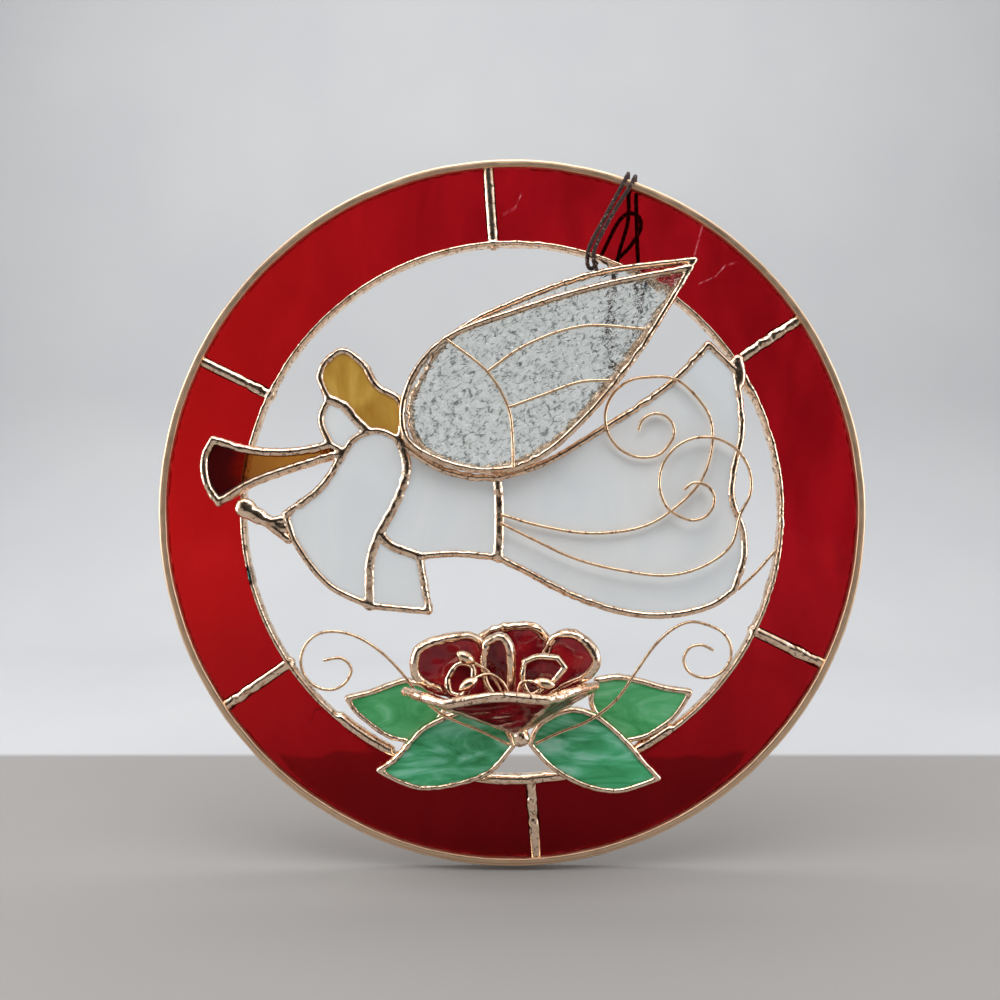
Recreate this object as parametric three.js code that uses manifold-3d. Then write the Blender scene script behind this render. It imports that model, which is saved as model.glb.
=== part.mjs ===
// A round stained glass panel: a ring of red glass in a copper hoop, with a flying angel
// and, below it, a rose of glass petals on four leaves. Copper-plated solder joins the glass.
// Everything is drawn facing the viewer, x to the right, y up and z towards the viewer, with the
// ring's centre at zero. At the end the panel is turned upright, so that its front faces -Y, and
// moved so that the place where its cord passes over the hoop is the origin. Millimetres.

import * as THREE from "three";
import { mergeVertices } from "three/addons/utils/BufferGeometryUtils.js";
import Module from "manifold-3d";

const wasm = await Module();
wasm.setup();

// Ring
const RING_RADIUS = 127;
const HOOP_FACE = 3.1;
const HOOP_DEPTH = 6;
const HOOP_CHAMFER = 1.3;
const INNER_EDGE_RADIUS = 97;
const INNER_EDGE_WIDTH = 2.2;
const INNER_EDGE_DEPTH = 5;
const DIVIDER_COUNT = 6;
const FIRST_DIVIDER_DEG = 94;
const RING_STEPS = 60;

// Glass, solder and wire
const GLASS_THICKNESS = 3;
const GAP = 0.3;
const BEAD_DEPTH = 4.4;
const EDGE_WIDTH = 2.8;
const SEAM_WIDTH = 4.2;
const WING_EDGE_WIDTH = 2.4;
const LEAF_EDGE_WIDTH = 2.1;
const PETAL_EDGE_WIDTH = 3.2;
const WIRE_DIAMETER = 1.1;

// How far each layer stands in front of the ring's middle plane
const ANGEL_LAYER = INNER_EDGE_DEPTH / 2 + GAP + BEAD_DEPTH / 2;
const FRONT_WING_LAYER = ANGEL_LAYER + BEAD_DEPTH + GAP;
const LOWER_LEAF_LAYER = ANGEL_LAYER;
const UPPER_LEAF_LAYER = LOWER_LEAF_LAYER - BEAD_DEPTH - GAP;
const ON_A_BEAD = BEAD_DEPTH / 2 + GAP + WIRE_DIAMETER / 2;
const WING_WIRE_LAYER = FRONT_WING_LAYER + ON_A_BEAD;
const SCROLL_LAYER = ANGEL_LAYER + ON_A_BEAD;
const CROSSING_SCROLL_LAYER = SCROLL_LAYER + WIRE_DIAMETER + GAP;
const FLOWER_WIRE_LAYER = LOWER_LEAF_LAYER + ON_A_BEAD;
const ON_THE_RING_LAYER = INNER_EDGE_DEPTH / 2 + GAP + WIRE_DIAMETER / 2;

// Cord, and where it passes over the hoop
const CORD_DIAMETER = 1.6;
const CORD_SIDES = 8;
const ROUND_SIDES = 8;
const HANGING_ANGLE_DEG = 69.2;

// A bend is cut into straight steps that turn by no more than this
const BEAD_TURN_DEG = 14;
const WIRE_TURN_DEG = 24;
const CORD_TURN_DEG = 26;

const finish = (color, roughness, metalness, opacity = 1) =>
  new THREE.MeshStandardMaterial({ color, roughness, metalness, opacity, transparent: opacity < 1 });

const COPPER = finish(0xb87848, 0.3, 1);
const RED_GLASS = finish(0xa00c10, 0.1, 0, 0.8);
const ROSE_GLASS = finish(0x7a0b12, 0.15, 0, 0.85);
const AMBER_GLASS = finish(0xb07818, 0.15, 0, 0.85);
const HAIR_GLASS = finish(0xc08a2c, 0.2, 0);
const WHITE_GLASS = finish(0xe4e8e8, 0.2, 0);
const CLEAR_GLASS = finish(0xc8d4cc, 0.15, 0, 0.4);
const LEAF_GLASS = finish(0x36a860, 0.2, 0);
const CORD_BRAID = finish(0x38201c, 0.9, 0);

const panel = new THREE.Group();

function place(name, geometry, material, parent = panel) {
  const mesh = new THREE.Mesh(geometry, material);
  mesh.name = name;
  parent.add(mesh);
}

function layerGroup(layer) {
  const group = new THREE.Group();
  group.position.z = layer;
  panel.add(group);
  return group;
}

const toVector = ([x, y, z = 0]) => new THREE.Vector3(x, y, z);

const shapeOf = (points) => new THREE.Shape(points.map(([x, y]) => new THREE.Vector2(x, y)));

// A point on a circle round the ring's centre
function polar(radius, degrees) {
  const angle = THREE.MathUtils.degToRad(degrees);
  return [radius * Math.cos(angle), radius * Math.sin(angle)];
}

// Points along a curl: its radius changes while it turns from one angle to another
function curl([cx, cy], fromRadius, toRadius, fromDeg, toDeg, count) {
  return Array.from({ length: count }, (_, i) => {
    const t = i / (count - 1);
    const [x, y] = polar(fromRadius + (toRadius - fromRadius) * t, fromDeg + (toDeg - fromDeg) * t);
    return [cx + x, cy + y];
  });
}

// A smooth route through points, cut into straight steps: one wherever it has turned far enough,
// so that tight bends have short steps and easy ones long steps
class Route extends THREE.Curve {
  constructor(points, turnDeg = BEAD_TURN_DEG) {
    super();
    this.line = new THREE.CatmullRomCurve3(points.map(toVector), false, "centripetal");
    this.stops = [0];
    const turn = THREE.MathUtils.degToRad(turnDeg);
    const samples = (points.length - 1) * 16;
    let heading = this.line.getTangent(0);
    let turned = 0;
    for (let i = 1; i < samples; i += 1) {
      const next = this.line.getTangent(i / samples);
      turned += heading.angleTo(next);
      heading = next;
      if (turned >= turn) {
        this.stops.push(i / samples);
        turned = 0;
      }
    }
    if (this.stops.length > 1 && turned < turn / 3) this.stops.pop();
    this.stops.push(1);
    this.steps = this.stops.length - 1;
  }

  getPointAt(u, target) {
    return this.line.getPoint(this.stops[Math.round(u * this.steps)], target);
  }

  getTangentAt(u, target) {
    return this.line.getTangent(this.stops[Math.round(u * this.steps)], target);
  }

  // The flat points of its steps, without the last
  flatPoints() {
    return this.getSpacedPoints(this.steps).slice(0, -1).map(({ x, y }) => new THREE.Vector2(x, y));
  }
}

function solidOf(geometry) {
  const plain = geometry.clone();
  plain.deleteAttribute("normal");
  plain.deleteAttribute("uv");
  const merged = mergeVertices(plain, 1e-4);
  const vertProperties = new Float32Array(merged.attributes.position.array);
  const triVerts = new Uint32Array(merged.index.array);
  return new wasm.Manifold(new wasm.Mesh({ numProp: 3, vertProperties, triVerts }));
}

function geometryOf(solid) {
  const { vertProperties, triVerts } = solid.getMesh();
  const geometry = new THREE.BufferGeometry();
  geometry.setAttribute("position", new THREE.BufferAttribute(vertProperties, 3));
  geometry.setIndex(new THREE.BufferAttribute(triVerts, 1));
  geometry.computeVertexNormals();
  return geometry;
}

const joined = (geometries) => geometryOf(geometries.map(solidOf).reduce((sum, solid) => sum.add(solid)));

// How much of its depth a bead's upright flank takes on each side, and a drop of solder in all
const SHOULDER_SHARE = 0.34;
const DROP_SHARE = 0.8;

// The section of a solder bead, as distances to its side and towards the viewer: upright flanks
// where the glass meets it, and a ridge on each face
function beadSection(width, depth) {
  const [side, ridge, shoulder] = [width / 2, depth / 2, depth * SHOULDER_SHARE];
  return [
    [0, ridge], [-side, shoulder], [-side, -shoulder], [0, -ridge], [side, -shoulder], [side, shoulder],
  ];
}

// A bead along an open stretch of seam
function bead(points, width, depth = BEAD_DEPTH) {
  const route = new Route(points);
  const section = shapeOf(beadSection(width, depth).map(([side, up]) => [up, side]));
  return new THREE.ExtrudeGeometry(section, { steps: route.steps, extrudePath: route });
}

function tube(points, diameter, sides, turnDeg) {
  const route = new Route(points, turnDeg);
  const section = shapeOf(Array.from({ length: sides }, (_, i) => polar(diameter / 2, (360 * i) / sides)));
  return new THREE.ExtrudeGeometry(section, { steps: route.steps, extrudePath: route });
}

const wire = (points) => tube(points, WIRE_DIAMETER, 5, WIRE_TURN_DEG);

// A drop of solder where seams meet
function drop([x, y, z = 0], width, depth = BEAD_DEPTH) {
  return new THREE.CylinderGeometry(width / 2, width / 2, depth * DROP_SHARE, ROUND_SIDES)
    .rotateX(Math.PI / 2).translate(x, y, z);
}

// The flat outline that runs along smooth lines, each from the end of the one before
const outlineOf = (lines) => lines.flatMap((line) => new Route(line).flatPoints());

// The edges of an anticlockwise outline, each with its direction and its inward side
function edgesOf(outline) {
  return outline.map((start, i) => {
    const end = outline[(i + 1) % outline.length];
    const along = end.clone().sub(start).normalize();
    return { start, end, along, inward: new THREE.Vector2(-along.y, along.x) };
  });
}

// A bead of solder all round an outline, with mitred corners
function edging(outline, width, depth = BEAD_DEPTH) {
  const edges = edgesOf(outline);
  const count = edges.length;
  const mitres = edges.map((edge, i) => {
    const before = edges[(i + count - 1) % count];
    const mitre = before.inward.clone().add(edge.inward).normalize();
    return mitre.divideScalar(Math.max(mitre.dot(edge.inward), 0.5));
  });
  const section = beadSection(width, depth);
  const positions = section.flatMap(([side, up]) => outline.flatMap((point, i) => {
    const moved = point.clone().addScaledVector(mitres[i], side);
    return [moved.x, moved.y, up];
  }));
  const index = section.flatMap((_, k) => outline.flatMap((_point, i) => {
    const [low, high] = [k * count, ((k + 1) % section.length) * count];
    const next = (i + 1) % count;
    return [low + i, high + i, high + next, low + i, high + next, low + next];
  }));
  const geometry = new THREE.BufferGeometry();
  geometry.setAttribute("position", new THREE.Float32BufferAttribute(positions, 3));
  geometry.setIndex(index);
  geometry.computeVertexNormals();
  return geometry;
}

// An outline moved inwards, by a distance of its own at each edge. Corners that this swallows, or
// that fall together, are left out.
function inset(outline, distances) {
  const edges = edgesOf(outline);
  const count = edges.length;
  const corners = edges.map((edge, i) => {
    const last = (i + count - 1) % count;
    const before = edges[last];
    const turn = before.along.cross(edge.along);
    if (Math.abs(turn) < 0.15) {
      const mean = before.inward.clone().add(edge.inward).normalize();
      return edge.start.clone().addScaledVector(mean, Math.max(distances[last], distances[i]));
    }
    const onBefore = before.end.clone().addScaledVector(before.inward, distances[last]);
    const onEdge = edge.start.clone().addScaledVector(edge.inward, distances[i]);
    return onBefore.addScaledVector(before.along, onEdge.sub(onBefore).cross(edge.along) / turn);
  });
  const clear = corners.filter((corner) => edges.every((edge, i) => {
    const t = corner.clone().sub(edge.start).dot(edge.along) / edge.start.distanceTo(edge.end);
    const nearest = edge.start.clone().lerp(edge.end, THREE.MathUtils.clamp(t, 0, 1));
    return corner.distanceTo(nearest) > distances[i] - 0.05;
  }));
  return clear.filter((corner, i) => corner.distanceTo(clear.at(i - 1)) > GAP);
}

function flatGlass(points) {
  return new THREE.ExtrudeGeometry(new THREE.Shape(points), { depth: GLASS_THICKNESS, bevelEnabled: false })
    .translate(0, 0, -GLASS_THICKNESS / 2);
}

// A pane of glass between beads that follow its outline's lines, with the width of each bead
function pane(lines, widths) {
  const distances = lines.flatMap((line, i) => {
    const width = Array.isArray(widths) ? widths[i] : widths;
    return Array(new Route(line).steps).fill(width / 2 + GAP);
  });
  return flatGlass(inset(outlineOf(lines), distances));
}

// A framed pane: glass, and a bead of solder all round it
function framedPane(name, lines, width, glassMaterial, parent) {
  place(`${name}_glass`, pane(lines, width), glassMaterial, parent);
  place(`${name}_edge`, edging(outlineOf(lines), width), COPPER, parent);
}

// The ring: hoop, soldered inner edge with dividers, and the glass between them

// A ring whose section is given as distances from the centre and towards the viewer
function ringOf(section) {
  const profile = [...section, section[0]].map(([radius, z]) => new THREE.Vector2(radius, z));
  return new THREE.LatheGeometry(profile, RING_STEPS).rotateX(Math.PI / 2);
}

// How much nearer to the centre a straight step is at its middle than at its ends
const STEP_FLATNESS = Math.cos(Math.PI / RING_STEPS);

function makeRing() {
  const hoopInner = RING_RADIUS - HOOP_FACE;
  const half = HOOP_DEPTH / 2;
  place("ring_hoop", ringOf([
    [hoopInner, -half],
    [RING_RADIUS - HOOP_CHAMFER, -half],
    [RING_RADIUS, HOOP_CHAMFER - half],
    [RING_RADIUS, half - HOOP_CHAMFER],
    [RING_RADIUS - HOOP_CHAMFER, half],
    [hoopInner, half],
  ]), COPPER);

  const outside = hoopInner * STEP_FLATNESS - GAP;
  const inside = (INNER_EDGE_RADIUS + INNER_EDGE_WIDTH / 2 + GAP) / STEP_FLATNESS;
  const pitch = 360 / DIVIDER_COUNT;
  const startOf = (i) => FIRST_DIVIDER_DEG - i * pitch;
  const innerEdge = ringOf(beadSection(INNER_EDGE_WIDTH, INNER_EDGE_DEPTH)
    .map(([side, z]) => [INNER_EDGE_RADIUS + side, z]));
  const dividers = Array.from({ length: DIVIDER_COUNT }, (_, i) =>
    bead([polar(INNER_EDGE_RADIUS, startOf(i)), polar(outside, startOf(i))], SEAM_WIDTH));
  place("ring_seams", joined([innerEdge, ...dividers]), COPPER);

  for (let i = 0; i < DIVIDER_COUNT; i += 1) {
    const arc = (radius) => {
      const margin = THREE.MathUtils.radToDeg((SEAM_WIDTH / 2 + GAP) / radius);
      const count = RING_STEPS / DIVIDER_COUNT + 1;
      return curl([0, 0], radius, radius, startOf(i) - margin, startOf(i + 1) + margin, count)
        .map(([x, y]) => new THREE.Vector2(x, y));
    };
    place(`ring_glass_${i + 1}`, flatGlass([...arc(inside), ...arc(outside).reverse()]), RED_GLASS);
  }
}

// The angel, drawn as the lines along which its glass was cut

const BELL_TOP = [-105.9, 25.8];
const BELL_FOOT = [-104.1, 3.5];
const FACE_FOOT = [-64.4, 24.1];
const SLEEVE_TOP = [-59.3, 21.6];
const BROW = [-65.1, 40.3];
const NAPE = [-51, 28.8];
const HAIR_END = [-39.6, 25.4];
const CUFF = [-80, -0.5];
const SLEEVE_TIP = [-50.6, -32.8];
const ARMPIT = [-47.2, -7.4];
const REAR_SLEEVE_TOP = [-33, -15.3];
const REAR_SLEEVE_TIP = [-29.6, -34.9];
const WAIST_TOP = [-5, 12.3];
const WAIST_FOOT = [-5, -15.7];
const SKIRT_TOP = [69.5, 59.6];
const HEM_TOP = [79.1, 50];
const HEM_FOOT = [78.4, -27.4];

const ANGEL_EDGES = {
  bellMouth: [BELL_TOP, [-108.5, 21], [-109.2, 15.6], [-107.5, 9], BELL_FOOT],
  trumpetUnder: [BELL_FOOT, [-92.8, 10.4], [-77.1, 16.2], SLEEVE_TOP],
  sleeveFront: [SLEEVE_TOP, [-67.5, 9.1], CUFF],
  cuff: [CUFF, [-77.1, -9.7], [-65.1, -25.3], SLEEVE_TIP],
  rearSleeveHem: [SLEEVE_TIP, REAR_SLEEVE_TIP],
  rearSleeveBack: [REAR_SLEEVE_TIP, REAR_SLEEVE_TOP],
  belly: [REAR_SLEEVE_TOP, [-20, -14.4], WAIST_FOOT],
  skirtFront: [WAIST_FOOT, [6.3, -21.4], [21, -29], [38.3, -34.8], [54, -36.2], [70.2, -32.8], HEM_FOOT],
  hem: [HEM_FOOT, [82, -15], [81.5, -6], [77.8, 4.5], [78, 13], [81.2, 29.4], HEM_TOP],
  skirtCorner: [HEM_TOP, SKIRT_TOP],
  skirtBack: [SKIRT_TOP, [57, 46.6], [45.4, 38], [33.3, 30.4], [11.6, 17.6], WAIST_TOP],
  shoulder: [WAIST_TOP, [-15, 12.6], [-25.6, 15.6], [-33.5, 20.2], HAIR_END],
  hairBack: [HAIR_END, [-39.8, 39.4], [-48, 44.8], [-53, 52.8], [-60.5, 57.2], [-68, 49.5], BROW],
  faceFront: [BROW, [-67.7, 33], FACE_FOOT],
  trumpetOver: [FACE_FOOT, [-77.1, 21.6], [-92, 22], BELL_TOP],
};
const ANGEL_SEAMS = {
  chin: [FACE_FOOT, SLEEVE_TOP],
  hairline: [NAPE, [-55.5, 33.2], [-60.1, 38.2], BROW],
  hairFoot: [HAIR_END, [-42.6, 27.3], [-46.6, 28.9], NAPE],
  collar: [SLEEVE_TOP, [-56.2, 25.9], NAPE],
  sleeveBackUpper: [HAIR_END, [-37.4, 16.3], [-40.2, 5.5], ARMPIT],
  sleeveBackLower: [ARMPIT, [-50.1, -16.4], SLEEVE_TIP],
  rearSleeveTop: [ARMPIT, [-43, -11.4], REAR_SLEEVE_TOP],
  waist: [WAIST_TOP, [-4.6, -2.6], WAIST_FOOT],
};
const NARROW_SEAMS = ["chin", "hairFoot", "collar"];

// Each pane's lines in anticlockwise order; a seam named with a minus is followed backwards
const ANGEL_PANES = {
  trumpet_glass: [AMBER_GLASS, "bellMouth", "trumpetUnder", "-chin", "trumpetOver"],
  face_glass: [WHITE_GLASS, "faceFront", "chin", "collar", "hairline"],
  hair_glass: [HAIR_GLASS, "-hairline", "-hairFoot", "hairBack"],
  front_sleeve_glass: [WHITE_GLASS,
    "sleeveFront", "cuff", "-sleeveBackLower", "-sleeveBackUpper", "hairFoot", "-collar"],
  rear_sleeve_glass: [WHITE_GLASS, "sleeveBackLower", "rearSleeveHem", "rearSleeveBack", "-rearSleeveTop"],
  torso_glass: [WHITE_GLASS, "sleeveBackUpper", "rearSleeveTop", "belly", "-waist", "shoulder"],
  skirt_glass: [WHITE_GLASS, "waist", "skirtFront", "hem", "skirtCorner", "skirtBack"],
};

// The hand that holds the trumpet, cast in solder between the cuff and the ring
const HAND_OUTLINE = [
  [-98, 3.4], [-97.8, 0.4], [-91, -2.6], [-85, -6], [-81.9, -4.6], [-81.8, -1.4], [-85.4, 1.6], [-91, 4.4],
];
const HAND_ROUNDING = 1;

function seamWidth(name) {
  return name in ANGEL_SEAMS && !NARROW_SEAMS.includes(name) ? SEAM_WIDTH : EDGE_WIDTH;
}

function makeAngel() {
  const body = layerGroup(ANGEL_LAYER);
  for (const [name, [material, ...names]] of Object.entries(ANGEL_PANES)) {
    const lines = names.map((line) => (line.startsWith("-")
      ? [...ANGEL_SEAMS[line.slice(1)]].reverse()
      : ANGEL_EDGES[line] ?? ANGEL_SEAMS[line]));
    const widths = names.map((line) => seamWidth(line.replace("-", "")));
    place(name, pane(lines, widths), material, body);
  }

  const seams = Object.entries(ANGEL_SEAMS).map(([name, points]) => bead(points, seamWidth(name)));
  const drops = [drop(NAPE, EDGE_WIDTH), drop(ARMPIT, SEAM_WIDTH - GAP)];
  const outerEdge = edging(outlineOf(Object.values(ANGEL_EDGES)), EDGE_WIDTH);
  place("angel_seams", joined([outerEdge, ...seams, ...drops]), COPPER, body);

  const hand = new THREE.ExtrudeGeometry(shapeOf(HAND_OUTLINE), {
    depth: BEAD_DEPTH - 2 * HAND_ROUNDING,
    bevelThickness: HAND_ROUNDING,
    bevelSize: HAND_ROUNDING,
    bevelOffset: -HAND_ROUNDING,
    bevelSegments: 1,
  });
  place("hand", hand.translate(0, 0, HAND_ROUNDING - BEAD_DEPTH / 2), COPPER, body);
}

// The wings: two layers of the same clear glass, and feather wires on the front one

const FRONT_WING_TIP = [62.1, 85.6];
const FRONT_WING_HEEL = [0.9, 15.7];
const FRONT_WING_LINES = [
  [FRONT_WING_TIP, [30.6, 79.2], [2.7, 70.9], [-23.2, 60.6], [-34, 49], [-38.4, 36], [-36.5, 25.5],
    [-25.3, 18.4], [-11.3, 15], FRONT_WING_HEEL],
  [FRONT_WING_HEEL, [11.4, 21], [20.8, 28.9], [31.3, 40], [44.6, 57.4], FRONT_WING_TIP],
];
const REAR_WING_TIP = [64.6, 89.6];
const REAR_WING_HEEL = [-3.6, 16.2];
const REAR_WING_LINES = [
  [REAR_WING_TIP, [31.2, 85.1], [2.8, 75.5], [-20.5, 63.4], [-30.6, 50], [-35.7, 38], [-35, 28.6],
    [-28.6, 20.9], [-15, 16], REAR_WING_HEEL],
  [REAR_WING_HEEL, [8.6, 21.2], [18.8, 29], [29.4, 40.4], [43, 58.2], REAR_WING_TIP],
];
const FEATHER_FORKS = [[-8.8, 48.9], [-1.5, 36.5]];
const FEATHER_WIRES = [
  [[-22.7, 60], FEATHER_FORKS[0]],
  [FEATHER_FORKS[0], FEATHER_FORKS[1]],
  [FEATHER_FORKS[1], [0, 26], [0.2, 15.8]],
  [FEATHER_FORKS[0], [4.5, 58], [24, 64.6], [46, 63.6]],
  [FEATHER_FORKS[1], [10.9, 41], [23.4, 45.3], [34.4, 46]],
];

function makeWings() {
  framedPane("front_wing", FRONT_WING_LINES, WING_EDGE_WIDTH, CLEAR_GLASS, layerGroup(FRONT_WING_LAYER));
  framedPane("rear_wing", REAR_WING_LINES, WING_EDGE_WIDTH, CLEAR_GLASS, layerGroup(ANGEL_LAYER));
  const joints = FEATHER_FORKS.map((fork) => drop(fork, 2 * WIRE_DIAMETER, 1.5 * WIRE_DIAMETER));
  const feathers = joined([...FEATHER_WIRES.map(wire), ...joints]);
  place("front_wing_wires", feathers, COPPER, layerGroup(WING_WIRE_LAYER));
}

// Scrolls of wire over the skirt, and the short wire that ties the hem to the ring

const UPPER_SCROLL = [
  [-4, -0.6], [10, -4.6], [28, -7.2], [46.6, -4.6], [58, 2.4], [66.4, 11.4], [70.2, 23], [69.6, 33],
  [65.4, 40], [57.4, 46.9],
  ...curl([46.8, 32.8], 15, 13.2, 85, 290, 8),
  ...curl([50.5, 28.6], 6.5, 6.2, -45, 177, 7),
];
const LOWER_SCROLL = [
  [-4, -3.6], [8, -9.6], [22, -16], [38.5, -20.2], [55, -21.8], [67.3, -18.4], [76.4, -11.4],
  ...curl([67, 10.5], 16.8, 15.4, -40, 215, 10),
  ...curl([63.3, 4.9], 7.6, 7.3, 240, 370, 5),
  ...curl([63.3, 4.9], 6.6, 4.6, 405, 495, 3),
];
const TIE_WIRE = [[80.6, -27.6], [87, -21.6], [94, -13.6]];

function makeScrolls() {
  place("skirt_scroll_upper", wire(UPPER_SCROLL), COPPER, layerGroup(SCROLL_LAYER));
  place("skirt_scroll_lower", wire(LOWER_SCROLL), COPPER, layerGroup(CROSSING_SCROLL_LAYER));
  place("hem_tie_wire", wire(TIE_WIRE), COPPER, layerGroup(ON_THE_RING_LAYER));
}

// The flower: leaves, scrolls of wire, and a rose of petals that stand away from the panel

const UPPER_LEAVES = {
  leaf_upper_left: [
    [[-38.6, -60.4], [-44, -62.2], [-51.2, -64.9], [-59.5, -66.9]],
    [[-59.5, -66.9], [-55, -72.6], [-45.1, -80], [-36.8, -82.4]],
    [[-36.8, -82.4], [-29.5, -77.5], [-24, -70.5]],
    [[-24, -70.5], [-30.5, -63.2], [-38.6, -60.4]],
  ],
  leaf_upper_right: [
    [[64.2, -64.6], [54.5, -63.2], [46.5, -60.9], [38.5, -59.4], [30.7, -60.4]],
    [[30.7, -60.4], [28.6, -68], [33.6, -76.5], [41, -82]],
    [[41, -82], [48.6, -80], [58, -73.6], [64.2, -64.6]],
  ],
};
const LOWER_LEAVES = {
  leaf_lower_left: [
    [[-24.2, -72.8], [-31.7, -76.8], [-36.6, -82], [-41.8, -87.6], [-47.4, -91.2]],
    [[-47.4, -91.2], [-36.4, -96.4], [-28.4, -97.3], [-17.5, -95.4], [-8, -91.6], [0.4, -82.4]],
    [[0.4, -82.4], [-2, -77.5], [-8.5, -72.6], [-16.5, -70.6], [-24.2, -72.8]],
  ],
  leaf_lower_right: [
    [[30.4, -72.4], [22, -70], [14, -72.2], [8.5, -77], [6.6, -82]],
    [[6.6, -82], [13, -89], [20.8, -94.2], [28.4, -97.1], [37.3, -98.4], [51.9, -94]],
    [[51.9, -94], [46.4, -88.2], [41.6, -82.6], [35.6, -76.6], [30.4, -72.4]],
  ],
};

// A flower wire's first points are level on the leaves, and the next ones come down to the ring
const FLOWER_WIRE_LEVEL_POINTS = 3;
const FLOWER_WIRE_FALL_POINTS = 6;
const LEFT_SCROLL = [
  [-1.2, -81.5], [-11, -76.8], [-23.8, -71.4], [-32.7, -64.2], [-39, -56.4], [-46.8, -48.9], [-56, -43.6],
  ...curl([-65, -53.5], 11.3, 9.7, 87, 280, 7),
  [-59.2, -60.3], [-57.5, -55.7], [-61, -52.1], [-67.4, -52.8],
];
const RIGHT_SCROLL = [
  [8.2, -81.2], [16, -77.5], [27.1, -73], [36.6, -65.7], [44.4, -54.9], [50.4, -46.9], [57, -41.2],
  [63.6, -38.8],
  ...curl([69, -49.8], 9.4, 9.2, 72, -130, 8),
  [61.3, -52.6], [63.4, -48.4], [67.6, -47.3], [71.9, -49.1],
];

// The rose's petals: where each stands, its turn about the upright and its lean towards the viewer,
// and the lines of its outline in its own plane
const PETALS = {
  rose_left: { foot: [-4.3, -70.8, 10.4], turn: 19, lean: 0, lines: [
    [[-30.6, 20.5], [-29.8, 16.4], [-25.5, 12.8], [-19.5, 9.9], [-10, 5.8], [-3.8, 3.4]],
    [[-3.8, 3.4], [-1, 8], [-4.2, 17.5], [-8.8, 27.5], [-19, 28.2], [-29, 25], [-30.6, 20.5]],
  ] },
  rose_right: { foot: [6.9, -70.8, 9], turn: -25, lean: 0, lines: [
    [[-0.4, 1.4], [12.4, 11.4], [20.8, 16.2], [23.6, 21], [21.6, 25.4], [15.2, 29.5], [8.4, 27.6],
      [5.6, 22.6]],
    [[5.6, 22.6], [1.6, 10], [-0.4, 1.4]],
  ] },
  rose_back: { foot: [1.3, -70.5, 2.8], turn: 0, lean: 0, lines: [
    [[-12.2, 26], [-9.6, 14], [-2, 0.6]],
    [[-2, 0.6], [5.4, 3], [9.6, 12], [12.4, 21], [10.8, 25.6], [6.4, 29.4], [-5.4, 29.2], [-12.2, 26]],
  ] },
  rose_centre: { foot: [-1.3, -63.6, 19.5], turn: -15, lean: 0, lines: [
    [[-8.8, 14.6], [-8, 6.6], [-3.6, 0.2]],
    [[-3.6, 0.2], [0, 4], [0.7, 12], [0, 19], [-2.6, 21.8], [-7.2, 19.8], [-8.8, 14.6]],
  ] },
  rose_inner_right: { foot: [4.3, -59.4, 21.8], turn: -9, lean: -5, lines: [
    [[-0.4, 9.6], [-0.7, 3], [1.6, -1.6]],
    [[1.6, -1.6], [8.4, 2.9], [13, 8.4], [10.4, 11.4], [4, 11.6], [-0.4, 9.6]],
  ] },
  rose_inner_left: { foot: [-15.3, -60.4, 22.4], turn: 5, lean: -19, lines: [
    [[-6.6, 5], [-5.6, 0.6], [-1.8, -0.6]],
    [[-1.8, -0.6], [1.6, 4], [1.8, 9.2], [-3.2, 9.8], [-6.6, 5]],
  ] },
};

// The cup of three front petals, which lean out from one foot and share a rim
const CUP_FOOT = [1.6, -76.3, 9.5];
const CUP_RIM = [[-36.7, -61.5, 14], [-21.8, -61.6, 30], [11.5, -60.3, 30], [28.4, -59.5, 14]];
const CUP_BULGES = [1.6, 4, 1.6];
const CUP_PETALS = ["rose_front_left_glass", "rose_front_glass", "rose_front_right_glass"];
const CUP_SIDES = 6;
const CUP_KNOB_RADIUS = 0.55 * PETAL_EDGE_WIDTH;
const CUP_BLOB = [3, -78.4, 10.6];
const CUP_BLOB_RADIUS = 3;

const STAMENS = [
  [[-3, -62, 24.6], [-5, -57, 24], [-8.6, -52.2, 23.4], [-12, -50.2, 23.2], [-18.6, -46.1, 24]],
  [[-0.6, -61.4, 25.3], [-3.4, -56, 24.6], [-7.6, -53, 25], [-11, -53.4, 26.4], [-17.5, -57.6, 28]],
  [[1.4, -60.6, 26.3], [2.6, -55.6, 26.4], [7.2, -54.9, 27.6], [13.4, -55.8, 29]],
];
const BUD_LENGTH = 6.4;
const BUD_RADIUS = 1.4;

function makeLeaves() {
  for (const [leaves, layer] of [[UPPER_LEAVES, UPPER_LEAF_LAYER], [LOWER_LEAVES, LOWER_LEAF_LAYER]]) {
    for (const [name, lines] of Object.entries(leaves)) {
      framedPane(name, lines, LEAF_EDGE_WIDTH, LEAF_GLASS, layerGroup(layer));
    }
  }
}

// A wire that lies on the lower leaves at its start, and comes down from there to the ring
function flowerWire(points) {
  const fall = (FLOWER_WIRE_LAYER - ON_THE_RING_LAYER) / FLOWER_WIRE_FALL_POINTS;
  return wire(points.map(([x, y], i) => {
    const fallen = THREE.MathUtils.clamp(i - FLOWER_WIRE_LEVEL_POINTS, 0, FLOWER_WIRE_FALL_POINTS);
    return [x, y, FLOWER_WIRE_LAYER - fall * fallen];
  }));
}

function makeFlowerScrolls() {
  place("flower_scroll_left", flowerWire(LEFT_SCROLL), COPPER);
  place("flower_scroll_right", flowerWire(RIGHT_SCROLL), COPPER);
}

function makePetals() {
  for (const [name, { foot, turn, lean, lines }] of Object.entries(PETALS)) {
    const petal = new THREE.Group();
    petal.position.set(...foot);
    petal.rotation.set(THREE.MathUtils.degToRad(lean), THREE.MathUtils.degToRad(turn), 0, "YXZ");
    panel.add(petal);
    framedPane(name, lines, PETAL_EDGE_WIDTH, ROSE_GLASS, petal);
  }
}

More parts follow.
